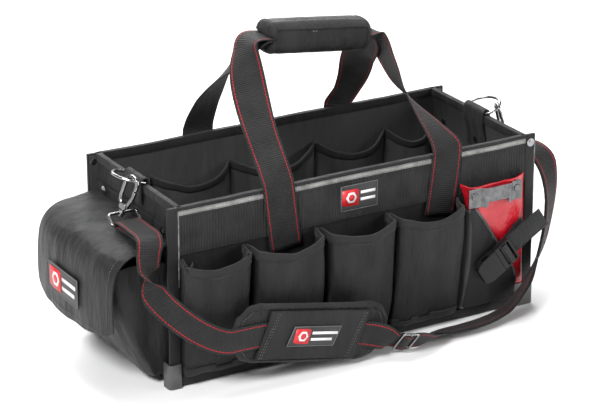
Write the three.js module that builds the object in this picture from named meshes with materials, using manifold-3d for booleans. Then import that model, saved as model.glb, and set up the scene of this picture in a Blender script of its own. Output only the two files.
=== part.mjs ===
// An open top tool tote, in millimetres, +Z up. The origin is the middle of its base, on the floor.
// +X runs along the tote to its right end, -Y is the front with the pockets.
import * as THREE from 'three';
import { mergeVertices } from 'three/addons/utils/BufferGeometryUtils.js';
import Module from 'manifold-3d';

const wasm = await Module();
wasm.setup();

// Driving dimensions of the box
const LENGTH = 600;
const WIDTH = 250;
const HEIGHT = 267;
const WALL = 3;
const BASE_BOARD = 4;
const TRIM = 1.8;
const CLOTH = 2;
const GAP = 0.3;
const END_INSET = 9;
const END_SINK = 6;
const EAR = 16;

// Rim, base and corner trim
const RIM_BINDING = 12;
const FRONT_BINDING = 5;
const TAPE_HEIGHT = 7.4;
const TAPE = 1.2;
const BAND_HEIGHT = 57;
const BAND = 1.6;
const BASE_HEM = 14;
const FOOT_HEIGHT = 37;
const FOOT_ARM = 31;
const FOOT_WALL = 3;

// Webbing
const HANDLE_WEBBING = 50;
const HANDLE_THICK = 2.2;
const STRAP_WEBBING = 38;
const STRAP_THICK = 2;
const HOLSTER_WEBBING = 33;
const HOLSTER_THICK = 1.8;
const TAB_DROP = 58;

// Hardware
const RIVET_HEAD = 13;
const RIVET_SHANK = 4;
const RING_WIRE = 4.5;
const RING_DEPTH = 37;
const RING_TILT = THREE.MathUtils.degToRad(16);
const HOOK_ROD = 6;
const HOOK_WIDTH = 22;
const HOOK_DROP = 42;
const GATE_BAR = 4.4;
const SWIVEL_DEPTH = 18.6;
const GLIDE_WIRE = 3.6;

// Pockets, grip, pad and patches
const POCKET_TOP = HEIGHT - 74;
const POCKET_DEPTH = 36;
const INNER_TOP = HEIGHT - 48;
const INNER_DEPTH = 30;
const SIDE_DEPTH = 84;
const SIDE_TOP = HEIGHT - 81;
const FLAP_ROOT = HEIGHT - 55;
const FLAP = 2.4;
const GRIP_LENGTH = 166;
const GRIP_DEPTH = 58;
const GRIP_HEIGHT = 50;
const GRIP_RISE = 164;
const GRIP_TILT = THREE.MathUtils.degToRad(7);
const PAD = 9;
const PATCH = 1.5;

// Worked out from the sizes above
const halfLength = LENGTH / 2;
const halfWidth = WIDTH / 2;
const frontFace = halfWidth - TRIM - GAP;
const innerFace = frontFace - WALL;
const endFace = halfLength - TRIM - GAP;
const panelTop = HEIGHT - TRIM - GAP;
const trimRun = halfLength - EAR - GAP;
const panelFoot = 0.5;

// Colours and finishes
const finishes = {
  cloth: { color: 0x17181a, roughness: 0.72, metalness: 0 },
  webbing: { color: 0x1b1b1d, roughness: 0.66, metalness: 0 },
  binding: { color: 0x202124, roughness: 0.6, metalness: 0 },
  tape: { color: 0xa8aaa9, roughness: 0.45, metalness: 0 },
  vinyl: { color: 0xb50f1c, roughness: 0.25, metalness: 0 },
  chrome: { color: 0xd9dbdd, roughness: 0.14, metalness: 1 },
  moulded: { color: 0x1c1d1f, roughness: 0.4, metalness: 0 },
  rubber: { color: 0x4a4b4d, roughness: 0.55, metalness: 0 },
};

const tote = new THREE.Group();

function add(name, geometry, finish, position = [0, 0, 0], turn = [0, 0, 0]) {
  const mesh = new THREE.Mesh(geometry, new THREE.MeshStandardMaterial(finishes[finish]));
  mesh.name = name;
  mesh.position.set(...position);
  mesh.rotation.set(...turn);
  tote.add(mesh);
}

// Geometry helpers
const vec = (x, y, z) => new THREE.Vector3(x, y, z);
const mix = (a, b, t) => a + (b - a) * t;
const ease = (t) => THREE.MathUtils.smoothstep(t, 0, 1);
const shares = (count) => Array.from({ length: count + 1 }, (_, i) => i / count);

// A closed skin from its corners and triangles, turned outwards.
function skin(vertices, faces) {
  let volume = 0;
  for (const [a, b, c] of faces) {
    volume += vertices[a].dot(vertices[b].clone().cross(vertices[c]));
  }
  const outward = volume < 0 ? faces.map(([a, b, c]) => [a, c, b]) : faces;
  const geometry = new THREE.BufferGeometry();
  const positions = vertices.flatMap((v) => v.toArray());
  geometry.setAttribute('position', new THREE.Float32BufferAttribute(positions, 3));
  geometry.setIndex(outward.flat());
  return geometry;
}

// Triangles that close a flat outline of [p, q] corners, wound the way the outline runs.
function capFaces(outline) {
  const points = outline.map(([p, q]) => new THREE.Vector2(p, q));
  const faces = THREE.ShapeUtils.triangulateShape(points, []);
  const first = THREE.ShapeUtils.area(faces[0].map((i) => points[i]));
  const against = THREE.ShapeUtils.area(points) * first < 0;
  return against ? faces.map(([a, b, c]) => [a, c, b]) : faces;
}

// A skin over rings of equal corner count, capped at both ends unless the rings close on themselves.
// Each span is cut along its shorter diagonal, so both faces of a thin twisted band bend alike.
function loft(rings, caps, closed = false) {
  const count = rings[0].length;
  const spans = closed ? rings.length : rings.length - 1;
  const points = rings.flat();
  const faces = [];
  for (let r = 0; r < spans; r += 1) {
    for (let i = 0; i < count; i += 1) {
      const next = (i + 1) % count;
      const low = r * count;
      const high = ((r + 1) % rings.length) * count;
      const [a, b, c, d] = [low + i, low + next, high + next, high + i];
      const rising = points[a].distanceTo(points[c]) < points[b].distanceTo(points[d]) + 1e-6;
      faces.push(...(rising ? [[a, b, c], [a, c, d]] : [[a, b, d], [b, c, d]]));
    }
  }
  if (!closed) {
    const last = (rings.length - 1) * count;
    for (const [a, b, c] of caps) {
      faces.push([b, a, c], [last + a, last + b, last + c]);
    }
  }
  return skin(points, faces);
}

// A flat outline of [p, q] corners, carried to each placing function in turn.
function extrudeThrough(outline, places) {
  return loft(places.map((place) => outline.map(([p, q]) => place(p, q))), capFaces(outline));
}

// An upright prism over a plan outline of [x, y] corners.
function upright(plan, low, high) {
  return extrudeThrough(plan, [(x, y) => vec(x, y, low), (x, y) => vec(x, y, high)]);
}

// A box between two corners.
function block(x0, x1, y0, y1, z0, z1) {
  const geometry = new THREE.BoxGeometry(x1 - x0, y1 - y0, z1 - z0);
  geometry.translate((x0 + x1) / 2, (y0 + y1) / 2, (z0 + z1) / 2);
  return geometry;
}

// A cloth wall: a grid of points, and the same grid moved by its thickness, closed at the edges.
function sheet(columns, rows, point, thickness, fixed) {
  const grid = rows.map((v) => columns.map((u) => point(u, v)));
  const wide = columns.length;
  const tall = rows.length;
  const offset = (i, j) => {
    if (fixed) return fixed.clone().multiplyScalar(thickness);
    const along = grid[j][Math.min(i + 1, wide - 1)].clone().sub(grid[j][Math.max(i - 1, 0)]);
    const up = grid[Math.min(j + 1, tall - 1)][i].clone().sub(grid[Math.max(j - 1, 0)][i]);
    return along.cross(up).normalize().multiplyScalar(thickness);
  };
  const back = grid.map((row, j) => row.map((p, i) => p.clone().add(offset(i, j))));
  const half = wide * tall;
  const at = (i, j) => j * wide + i;
  const faces = [];
  for (let j = 0; j < tall - 1; j += 1) {
    for (let i = 0; i < wide - 1; i += 1) {
      const [a, b, c, d] = [at(i, j), at(i + 1, j), at(i + 1, j + 1), at(i, j + 1)];
      faces.push([a, b, c], [a, c, d], [half + a, half + c, half + b], [half + a, half + d, half + c]);
    }
  }
  const rim = [];
  for (let i = 0; i < wide - 1; i += 1) rim.push([at(i, 0), at(i + 1, 0)]);
  for (let j = 0; j < tall - 1; j += 1) rim.push([at(wide - 1, j), at(wide - 1, j + 1)]);
  for (let i = wide - 1; i > 0; i -= 1) rim.push([at(i, tall - 1), at(i - 1, tall - 1)]);
  for (let j = tall - 1; j > 0; j -= 1) rim.push([at(0, j), at(0, j - 1)]);
  for (const [a, b] of rim) {
    faces.push([b, a, half + a], [b, half + a, half + b]);
  }
  return skin([...grid.flat(), ...back.flat()], faces);
}

// Webbing along rows of { at, across }: a flat band whose width follows across at every row.
function webbing(rows, width, thick, { perSpan = 1, lift = 0 } = {}) {
  const run = new THREE.CatmullRomCurve3(rows.map((row) => row.at), false, 'centripetal');
  const stations = shares((rows.length - 1) * perSpan);
  const middles = stations.map((t) => run.getPoint(t));
  const rings = middles.map((middle, i) => {
    const ahead = middles[Math.min(i + 1, middles.length - 1)];
    const behind = middles[Math.max(i - 1, 0)];
    const tangent = ahead.clone().sub(behind).normalize();
    const low = Math.min(Math.floor(i / perSpan), rows.length - 2);
    const wide = rows[low].across.clone().lerp(rows[low + 1].across, i / perSpan - low);
    const stand = tangent.clone().cross(wide).normalize();
    const across = stand.clone().cross(tangent).normalize();
    const corner = (w, t) => middle.clone().addScaledVector(across, w * width / 2)
      .addScaledVector(stand, lift + t * thick / 2);
    return [corner(-1, -1), corner(1, -1), corner(1, 1), corner(-1, 1)];
  });
  return loft(rings, [[0, 1, 2], [0, 2, 3]]);
}

// A round bar along points that lie in one plane with the given normal.
function bar(points, normal, diameter, sides = 8, closed = false) {
  const count = points.length;
  const near = (i) => (closed ? (i + count) % count : THREE.MathUtils.clamp(i, 0, count - 1));
  const rings = points.map((point, i) => {
    const tangent = points[near(i + 1)].clone().sub(points[near(i - 1)]).normalize();
    const inPlane = tangent.clone().cross(normal).normalize();
    return shares(sides).slice(0, -1).map((t) => point.clone()
      .addScaledVector(inPlane, Math.cos(t * 2 * Math.PI) * diameter / 2)
      .addScaledVector(normal, Math.sin(t * 2 * Math.PI) * diameter / 2));
  });
  const fan = shares(sides - 3).map((_, i) => [0, i + 1, i + 2]);
  return loft(rings, fan, closed);
}

// Points of a circle or ellipse arc in the plane of two directions.
function arc(centre, right, up, from, to, steps) {
  return shares(steps).map((t) => {
    const angle = THREE.MathUtils.degToRad(mix(from, to, t));
    return centre.clone().addScaledVector(right, Math.cos(angle)).addScaledVector(up, Math.sin(angle));
  });
}

// A turned form around +Z from a profile of [radius, height] that starts and ends on the axis.
function turned(profile, sides) {
  const lathe = new THREE.LatheGeometry(profile.map(([r, h]) => new THREE.Vector2(r, h)), sides);
  lathe.rotateX(Math.PI / 2);
  return welded(lathe);
}

// Shared corners merged and slivers dropped, so that the form is one closed body.
function welded(geometry) {
  const bare = geometry.clone();
  bare.deleteAttribute('normal');
  bare.deleteAttribute('uv');
  const merged = mergeVertices(bare, 1e-4);
  const index = [...merged.index.array];
  const kept = [];
  for (let i = 0; i < index.length; i += 3) {
    const [a, b, c] = index.slice(i, i + 3);
    if (a !== b && b !== c && a !== c) kept.push(a, b, c);
  }
  merged.setIndex(kept);
  return merged;
}

function toManifold(geometry) {
  const merged = welded(geometry);
  return new wasm.Manifold(new wasm.Mesh({
    numProp: 3,
    vertProperties: new Float32Array(merged.attributes.position.array),
    triVerts: new Uint32Array(merged.index.array),
  }));
}

function fromManifold(solid) {
  const mesh = solid.getMesh();
  const geometry = new THREE.BufferGeometry();
  geometry.setAttribute('position', new THREE.Float32BufferAttribute(mesh.vertProperties, 3));
  geometry.setIndex([...mesh.triVerts]);
  return geometry;
}

function joined(first, ...rest) {
  return fromManifold(rest.reduce((solid, next) => solid.add(toManifold(next)), toManifold(first)));
}

function without(first, ...rest) {
  return fromManifold(rest.reduce((solid, next) => solid.subtract(toManifold(next)), toManifold(first)));
}

// A round rod between two points, used for shanks, bores and pins.
function rod(from, to, diameter, sides = 10) {
  const axis = to.clone().sub(from);
  const geometry = new THREE.CylinderGeometry(diameter / 2, diameter / 2, axis.length(), sides);
  geometry.rotateX(Math.PI / 2);
  geometry.applyQuaternion(new THREE.Quaternion().setFromUnitVectors(vec(0, 0, 1), axis.clone().normalize()));
  geometry.translate(...from.clone().add(to).multiplyScalar(0.5).toArray());
  return geometry;
}

// End walls: how far the cloth stands in from the ears, deeper towards the rim.
const wallRows = [0, 0.35, 0.6, 0.785, 0.87, 0.94, 1];
const wallHeight = (rise) => mix(panelFoot, panelTop, rise);
const wallFace = (rise) => endFace - END_SINK - END_INSET * rise ** 3.5;

function endPanel(side) {
  return sheet([-1, 1], wallRows, (u, v) => (
    vec(side * wallFace(v), u * (innerFace - GAP), wallHeight(v))
  ), WALL, vec(-side, 0, 0));
}

// The outer face of an end wall at a height, between its rows.
function wallAt(z) {
  const rise = (z - panelFoot) / (panelTop - panelFoot);
  const next = Math.max(1, wallRows.findIndex((row) => row >= rise));
  const t = (rise - wallRows[next - 1]) / (wallRows[next] - wallRows[next - 1]);
  return mix(wallFace(wallRows[next - 1]), wallFace(wallRows[next]), t);
}

// Rivets: a washer head, its shank and the flattened head inside.
const rivetGrip = WALL + TRIM + 2 * GAP;
const rivetBore = RIVET_SHANK + 2 * GAP;

function rivet(grip) {
  const head = RIVET_HEAD / 2;
  const shank = RIVET_SHANK / 2;
  return turned([
    [0, -grip - 1.3], [head * 0.7, -grip - 1], [head * 0.75, -grip], [shank, -grip],
    [shank, 0], [head, 0], [head, 1], [head * 0.62, 1.1], [head * 0.5, 1.6], [0, 1.9],
  ], 10);
}

// Where the rivets go: the two that show on the ears, those of the flap and those of the right end.
const earRivets = [
  { name: 'front_right_ear_rivet', side: 1, face: -1 },
  { name: 'back_left_ear_rivet', side: -1, face: 1 },
];
const earRivetX = halfLength - EAR / 2 - 0.5;
const earRivetZ = HEIGHT - 12;
const endRivetY = 0.75 * innerFace;
const endRivets = [
  { name: 'left_back_rivet', side: -1, y: endRivetY },
  { name: 'left_front_rivet', side: -1, y: -endRivetY },
  { name: 'right_back_rivet', side: 1, y: endRivetY },
  { name: 'right_tab_rivet', side: 1, y: 0 },
];
const endRivetZ = 0.832 * HEIGHT;
const endRivetX = wallAt(endRivetZ);

function boreAlong(axis, side, first, second, z, depth) {
  const from = axis === 'x' ? vec(side * (first + 6), second, z) : vec(first, side * (second + 6), z);
  const to = axis === 'x' ? vec(side * (first - depth), second, z) : vec(first, side * (second - depth), z);
  return rod(from, to, rivetBore);
}

// The stiffened box
const faceHeight = [panelFoot, panelTop];
const earBore = (rivetRow) => (
  boreAlong('y', rivetRow.face, rivetRow.side * earRivetX, frontFace, earRivetZ, WALL + 4)
);
const frontPanel = block(-endFace, endFace, -frontFace, -innerFace, ...faceHeight);
const backPanel = block(-endFace, endFace, innerFace, frontFace, ...faceHeight);
add('base_board', block(-endFace + WALL + END_SINK + GAP, endFace - WALL - END_SINK - GAP,
  -innerFace + GAP, innerFace - GAP, 0, BASE_BOARD), 'cloth');
add('front_panel', without(frontPanel, earBore(earRivets[0])), 'cloth');
add('back_panel', without(backPanel, earBore(earRivets[1])), 'cloth');
for (const [name, side] of [['left_end_panel', -1], ['right_end_panel', 1]]) {
  const bores = endRivets.filter((row) => row.side === side)
    .map((row) => boreAlong('x', side, endRivetX, row.y, endRivetZ, WALL + 6));
  add(name, without(endPanel(side), ...bores), 'cloth');
}

// Rim bindings: folded over the panel edge, a deep leg inside.
function foldedOver(thick, outerDrop, innerDrop) {
  const out = TRIM + GAP;
  const top = HEIGHT;
  return [
    [out, top - outerDrop], [out, top], [-thick - out, top], [-thick - out, top - innerDrop],
    [-thick - GAP, top - innerDrop], [-thick - GAP, top - TRIM], [GAP, top - TRIM], [GAP, top - outerDrop],
  ];
}

function outerLeg(drop) {
  const out = TRIM + GAP;
  return [
    [out, HEIGHT - drop], [out, HEIGHT], [0, HEIGHT], [0, HEIGHT - TRIM], [GAP, HEIGHT - TRIM],
    [GAP, HEIGHT - drop],
  ];
}

for (const [name, face, outerDrop] of [
  ['front_rim_binding', -1, FRONT_BINDING], ['back_rim_binding', 1, RIM_BINDING],
]) {
  const run = (section, reach) => extrudeThrough(section, [-reach, reach].map((x) => (
    (out, z) => vec(x, face * (frontFace + out), z)
  )));
  const inside = wallFace(1) - WALL - TRIM - 2 * GAP;
  const whole = run(foldedOver(WALL, outerDrop, RIM_BINDING), inside);
  const outside = run(outerLeg(outerDrop), trimRun);
  add(name, joined(whole, outside), 'binding');
}

for (const [name, side] of [['left_rim_binding', -1], ['right_rim_binding', 1]]) {
  const lean = wallAt(HEIGHT - RIM_BINDING) - wallFace(1);
  const reach = innerFace - GAP;
  add(name, extrudeThrough(foldedOver(WALL, RIM_BINDING, RIM_BINDING), [-reach, reach].map((y) => (
    (out, z) => vec(side * (wallFace(1) + out + (out > 0 ? lean : 0)), y, z)
  ))), 'binding');
}

// Light tape and ribbed band along the front
const tapeTop = HEIGHT - FRONT_BINDING - GAP;
const bandTop = tapeTop - TAPE_HEIGHT - GAP;
const bandFoot = bandTop - BAND_HEIGHT;
const onFront = (out, thick) => [-(frontFace + out + thick), -(frontFace + out)];
add('front_tape', block(-trimRun, trimRun, ...onFront(GAP, TAPE), tapeTop - TAPE_HEIGHT, tapeTop), 'tape');
add('front_band', block(-trimRun, trimRun, ...onFront(GAP, BAND), bandFoot, bandTop), 'webbing');
add('base_hem', block(-trimRun, halfLength - FOOT_ARM - GAP, ...onFront(GAP, TRIM), 2, 2 + BASE_HEM), 'binding');

// Corner strips round the ears, folded over the rim
function cornerStrip(side, face) {
  const plan = ([ax, ay, bx, by]) => [
    [side * ax, face * ay], [side * bx, face * ay], [side * bx, face * by], [side * ax, face * by],
  ];
  const outer = halfLength;
  const front = halfWidth;
  const arm = upright(plan([outer - EAR, frontFace + GAP, outer, front]), 3, HEIGHT);
  const edge = upright(plan([endFace + GAP, innerFace, outer, front]), 3, HEIGHT);
  const top = upright(plan([outer - EAR, innerFace, outer, front]), HEIGHT - TRIM, HEIGHT);
  return joined(arm, edge, top);
}

for (const [name, side, face] of [
  ['front_left_corner_strip', -1, -1], ['front_right_corner_strip', 1, -1],
  ['back_left_corner_strip', -1, 1], ['back_right_corner_strip', 1, 1],
]) {
  const strip = cornerStrip(side, face);
  const held = earRivets.find((row) => row.side === side && row.face === face);
  add(name, held ? without(strip, earBore(held)) : strip, 'binding');
}

// Moulded feet outside the corners
function cornerFoot(side, face, armX, armY) {
  const bend = 2 * FOOT_WALL;
  const inner = GAP;
  const outer = GAP + FOOT_WALL;
  const corner = (out, radius, from, to) => arc(
    vec(halfLength + out - radius, halfWidth + out - radius, 0), vec(radius, 0, 0), vec(0, radius, 0),
    from, to, 4,
  );
  const round = corner(outer, bend, 90, 0).map((p) => [p.x, p.y]);
  const plan = [
    [halfLength - armX, halfWidth + inner], [halfLength - armX, halfWidth + outer], ...round,
    [halfLength + outer, halfWidth - armY], [halfLength + inner, halfWidth - armY],
    [halfLength + inner, halfWidth + inner],
  ];
  return upright(plan.map(([x, y]) => [side * x, face * y]), 0, FOOT_HEIGHT);
}

for (const [name, side, face, armX] of [
  ['front_left_foot', -1, -1, EAR - GAP], ['front_right_foot', 1, -1, FOOT_ARM],
  ['back_left_foot', -1, 1, FOOT_ARM], ['back_right_foot', 1, 1, FOOT_ARM],
]) {
  add(name, cornerFoot(side, face, armX, EAR), 'rubber');
}

// Rivets in their bores
const earTurn = (face) => [-face * Math.PI / 2, 0, 0];
for (const { name, side, face } of earRivets) {
  const y = face * (halfWidth + GAP);
  add(name, rivet(rivetGrip), 'chrome', [side * earRivetX, y, earRivetZ], earTurn(face));
}
for (const { name, side, y } of endRivets) {
  const tabbed = y === 0 ? HANDLE_THICK + 2 * GAP : 0;
  const flapped = side < 0 ? FLAP + GAP : 0;
  const out = tabbed + flapped + 1;
  const grip = WALL + out + tabbed + 1.2;
  add(name, rivet(grip), 'chrome', [side * (endRivetX + out), y, endRivetZ], [0, side * Math.PI / 2, 0]);
}

// Tabs: webbing folded over each rim round the bar of the D-ring
const barX = wallFace(1) - WALL / 2;
const barZ = HEIGHT + GAP + RING_WIRE / 2;

function tab(side, foot) {
  const legOut = WALL / 2 + TRIM + 3 * GAP + HANDLE_THICK / 2 + 0.9;
  const legIn = legOut - 0.9;
  const middleAt = (z) => wallAt(z) - WALL / 2;
  const shoulder = HEIGHT - RIM_BINDING - 3;
  const knee = wallHeight(0.87);
  const close = WALL / 2 + 2 * GAP + HANDLE_THICK / 2;
  const outsideLeg = [...(foot < knee ? [foot, knee] : [foot]).map((z) => [middleAt(z) + close, z]),
    [barX + legOut, shoulder]];
  const insideLeg = [[barX - legIn, shoulder],
    ...[knee, HEIGHT - TAB_DROP].map((z) => [middleAt(z) - close, z])];
  const middle = barX + (legOut - legIn) / 2;
  const radius = (legOut + legIn) / 2;
  const over = arc(vec(middle, 0, barZ), vec(radius, 0, 0), vec(0, 0, radius), 0, 180, 6)
    .map((p) => [p.x, p.z]);
  const rows = [...outsideLeg, [barX + legOut, HEIGHT], ...over, [barX - legIn, HEIGHT], ...insideLeg];
  return webbing(rows.map(([x, z]) => ({ at: vec(side * x, 0, z), across: vec(0, 1, 0) })),
    HANDLE_WEBBING, HANDLE_THICK);
}

for (const [name, side, foot] of [
  ['left_tab', -1, FLAP_ROOT + 25], ['right_tab', 1, HEIGHT - TAB_DROP],
]) {
  const bores = endRivets.filter((row) => row.side === side && row.y === 0)
    .map((row) => boreAlong('x', side, endRivetX + 6, row.y, endRivetZ, WALL + 24));
  add(name, bores.length ? without(tab(side, foot), ...bores) : tab(side, foot), 'webbing');
}

// D-rings: a straight bar in the tab, two legs and a round front, standing out from the rim
const ringHalf = HANDLE_WEBBING / 2 + RING_WIRE / 2 + GAP;
const ringLeg = 10;
const ringOut = (side) => vec(side * Math.cos(RING_TILT), 0, Math.sin(RING_TILT));
const ringFoot = (side) => vec(side * barX, 0, barZ);

function ringPoint(side, angle) {
  const turn = THREE.MathUtils.degToRad(angle);
  return ringFoot(side).addScaledVector(ringOut(side), ringLeg + (RING_DEPTH - ringLeg) * Math.sin(turn))
    .add(vec(0, -ringHalf * Math.cos(turn), 0));
}

function dRing(side) {
  const round = shares(10).map((t) => ringPoint(side, 180 * t));
  const corner = 3;
  const out = ringOut(side);
  const foot = ringFoot(side);
  const heel = [1, -1].flatMap((end) => {
    const soft = [
      foot.clone().add(vec(0, end * ringHalf, 0)).addScaledVector(out, corner),
      foot.clone().add(vec(0, end * (ringHalf - corner), 0)),
    ];
    return end > 0 ? soft : soft.reverse();
  });
  const normal = out.clone().cross(vec(0, 1, 0)).normalize();
  return bar([...round, ...heel], normal, RING_WIRE, 8, true);
}

add('left_d_ring', dRing(-1), 'chrome');
add('right_d_ring', dRing(1), 'chrome');

// Snap hooks: a rod bent over the ring, a base block with a stem, a gate and a swivel ring
const hookAngle = 25;
const hookSwing = THREE.MathUtils.degToRad(-72);
const hookHang = vec(0.307, -0.118, 0.945).normalize();
const crownLift = RING_WIRE / 2 + HOOK_ROD / 2 + 0.8;
const hookBlock = { half: 6.5, foot: -HOOK_DROP, top: -HOOK_DROP + 8.5, thick: 8.4 };
const pivot = { p: 4.6, q: -HOOK_DROP + 4.4 };
const pinWidth = 2.6;
const bossBore = 5.2;
const bossTop = -HOOK_DROP - 2.2;
const bossHeight = 5.6;

function hookFrame(side) {
  const flip = (v) => vec(-side * v.x, v.y, v.z);
  const up = flip(hookHang);
  const level = flip(vec(Math.cos(hookSwing), Math.sin(hookSwing), 0));
  const right = level.clone().addScaledVector(up, -level.dot(up)).normalize();
  const normal = right.clone().cross(up);
  const origin = ringPoint(side, hookAngle);
  const at = (p, q, n = 0) => origin.clone().addScaledVector(right, p).addScaledVector(up, q)
    .addScaledVector(normal, n);
  return { up, right, normal, at };
}

// A prism in the plane of the hook, between two depths along its normal.
function hookPlate(frame, outline, from, to) {
  return extrudeThrough(outline, [from, to].map((n) => ((p, q) => frame.at(p, q, n))));
}

function hookBody(frame) {
  const half = HOOK_WIDTH / 2;
  const crownMiddle = crownLift - half;
  const crown = arc(frame.at(0, crownMiddle), frame.right.clone().multiplyScalar(half),
    frame.up.clone().multiplyScalar(half), 0, 180, 8);
  const line = [
    frame.at(half, -10.5), ...crown, frame.at(-half, -HOOK_DROP * 0.6),
    frame.at(-half * 0.85, -HOOK_DROP * 0.76), frame.at(-half * 0.35, -HOOK_DROP * 0.89),
  ];
  const shank = bar(line, frame.normal, HOOK_ROD);
  const { half: w, foot, top, thick } = hookBlock;
  const base = hookPlate(frame, [
    [-w, foot + 2], [-w + 2, foot], [w - 2, foot], [w, foot + 2], [w, top - 2], [w - 2, top],
    [-w + 2, top], [-w, top - 2],
  ], -thick / 2, thick / 2);
  const stemFoot = bossTop - bossHeight - 1.5;
  const stem = rod(frame.at(0, foot + 2), frame.at(0, stemFoot - 1.6), bossBore - 0.9);
  const knob = rod(frame.at(0, stemFoot), frame.at(0, stemFoot - 2), bossBore + 2.6);
  const slot = hookPlate(frame, [
    [pivot.p - 3.9, foot + 1], [w + 3, foot + 1], [w + 3, top + 4], [pivot.p - 3.9, top + 4],
  ], -GATE_BAR / 2 - 0.4, GATE_BAR / 2 + 0.4);
  const pin = rod(frame.at(pivot.p, pivot.q, -thick / 2 + 0.4), frame.at(pivot.p, pivot.q, thick / 2 - 0.4),
    pinWidth);
  return joined(without(joined(shank, base, stem, knob), slot), pin);
}

function hookGate(frame) {
  const half = HOOK_WIDTH / 2;
  const reach = GATE_BAR / 2;
  const tip = -10.5 - 2 * GAP;
  const slope = 1.7;
  const lever = hookPlate(frame, [
    [pivot.p - 1.9, pivot.q], [half - reach - 2.4, -HOOK_DROP * 0.62], [half - reach, tip - 9],
    [half - reach - 0.6, tip], [half + reach + 0.6, tip - slope], [half + reach, tip - 9],
    [half + reach - 1.4, -HOOK_DROP * 0.62], [pivot.p + 2.4, pivot.q],
  ], -reach, reach);
  const hub = rod(frame.at(pivot.p, pivot.q, -reach), frame.at(pivot.p, pivot.q, reach), 6.2, 12);
  const bore = rod(frame.at(pivot.p, pivot.q, -reach - 1), frame.at(pivot.p, pivot.q, reach + 1),
    pinWidth + 2 * GAP);
  return without(joined(lever, hub), bore);
}

const swivelLean = vec(0, -0.806, -0.592);
const swivelHalf = STRAP_WEBBING / 2 + RING_WIRE / 2 + 0.6;
const swivelTop = (frame) => frame.at(0, bossTop - bossHeight / 2);
const swivelBar = (frame) => swivelTop(frame).addScaledVector(swivelLean, SWIVEL_DEPTH);

function swivelRing(frame) {
  const top = swivelTop(frame);
  const soft = 4;
  const spot = (x, down) => top.clone().add(vec(x, 0, 0)).addScaledVector(swivelLean, down);
  const corner = (x, down, from) => arc(spot(x, down), vec(soft, 0, 0),
    swivelLean.clone().multiplyScalar(-soft), from, from + 90, 3);
  const line = [
    ...corner(swivelHalf - soft, soft, 0), ...corner(soft - swivelHalf, soft, 90),
    ...corner(soft - swivelHalf, SWIVEL_DEPTH - soft, 180),
    ...corner(swivelHalf - soft, SWIVEL_DEPTH - soft, 270),
  ];
  const loop = bar(line, vec(1, 0, 0).cross(swivelLean).normalize(), RING_WIRE, 8, true);
  const boss = rod(frame.at(0, bossTop), frame.at(0, bossTop - bossHeight), bossBore + 4.4, 12);
  const bore = rod(frame.at(0, bossTop + 4), frame.at(0, bossTop - bossHeight - 4), bossBore, 12);
  return without(joined(loop, boss), bore);
}

const leftHook = hookFrame(-1);
const rightHook = hookFrame(1);
for (const [side, frame] of [['left', leftHook], ['right', rightHook]]) {
  add(`${side}_hook`, hookBody(frame), 'chrome');
  add(`${side}_hook_gate`, hookGate(frame), 'chrome');
  add(`${side}_swivel_ring`, swivelRing(frame), 'chrome');
}

// Bellows pockets: an open cloth pouch whose depth grows from a closed seam to the mouth.
// Each row of the profile gives its height and depth as shares of the pocket's own.
const pouchProfile = [
  { rise: 0, depth: 0 }, { rise: 0.012, depth: 0.3 }, { rise: 0.2, depth: 0.55 },
  { rise: 0.45, depth: 0.78 }, { rise: 0.72, depth: 0.95 }, { rise: 1, depth: 1 },
];
// Stations round the pocket in plan: side is 0 at the left wall seam and 1 at the right one.
const pouchPlan = [
  { side: 0, out: 0, flare: 0 }, { side: 0.02, out: 0.5, flare: 0.5 }, { side: 0.0, out: 0.86, flare: 1 },
  { side: 0.03, out: 1, flare: 1 }, { side: 0.27, out: 1.1, flare: 1 }, { side: 0.5, out: 1.13, flare: 1 },
  { side: 0.73, out: 1.1, flare: 1 }, { side: 0.97, out: 1, flare: 1 }, { side: 1.0, out: 0.86, flare: 1 },
  { side: 0.98, out: 0.5, flare: 0.5 }, { side: 1, out: 0, flare: 0 },
];

function pouch({ left, right, flareLeft, flareRight, foot, top, dip, depth, place }) {
  const rows = pouchProfile.map((_, i) => i);
  const columns = pouchPlan.map((_, i) => i);
  return sheet(columns, rows, (i, j) => {
    const { side: station, out, flare } = pouchPlan[i];
    const { rise, depth: share } = pouchProfile[j];
    const side = mix(i / (columns.length - 1), station, Math.min(1, share * 3));
    const low = left - flareLeft * flare * share;
    const high = right + flareRight * flare * share;
    const sag = dip * Math.sin(Math.PI * side) * rise ** 4 * Math.min(1, out);
    return place(mix(low, high, side), 2 * GAP + out * share * depth, mix(foot, top, rise) - sag);
  }, CLOTH);
}

const pocketFoot = 2 + BASE_HEM + GAP + CLOTH;
const onFrontFace = (x, out, z) => vec(x, -(frontFace + out), z);
const frontPockets = [
  { name: 'front_pocket_1', left: -0.93, right: -0.624, flareLeft: 10, flareRight: -3, dip: 12 },
  { name: 'front_pocket_2', left: -0.605, right: -0.232, flareLeft: -4, flareRight: -4, dip: 11 },
  { name: 'front_pocket_3', left: -0.207, right: 0.15, flareLeft: -3, flareRight: -3, dip: 12 },
  { name: 'front_pocket_4', left: 0.167, right: 0.553, flareLeft: -4, flareRight: -9, dip: 12 },
];
for (const { name, left, right, ...rest } of frontPockets) {
  add(name, pouch({
    ...rest, left: left * halfLength, right: right * halfLength, foot: pocketFoot, top: POCKET_TOP,
    depth: POCKET_DEPTH, place: onFrontFace,
  }), 'cloth');
}

// Side pocket on the left end, and its domed flap
const sideReach = innerFace - 12;
add('side_pocket', pouch({
  left: -sideReach, right: sideReach, flareLeft: -4, flareRight: -4, foot: 14, top: SIDE_TOP, dip: 4,
  depth: SIDE_DEPTH, place: (along, out, z) => vec(-(wallAt(z) + out), -along, z),
}), 'cloth');

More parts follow.
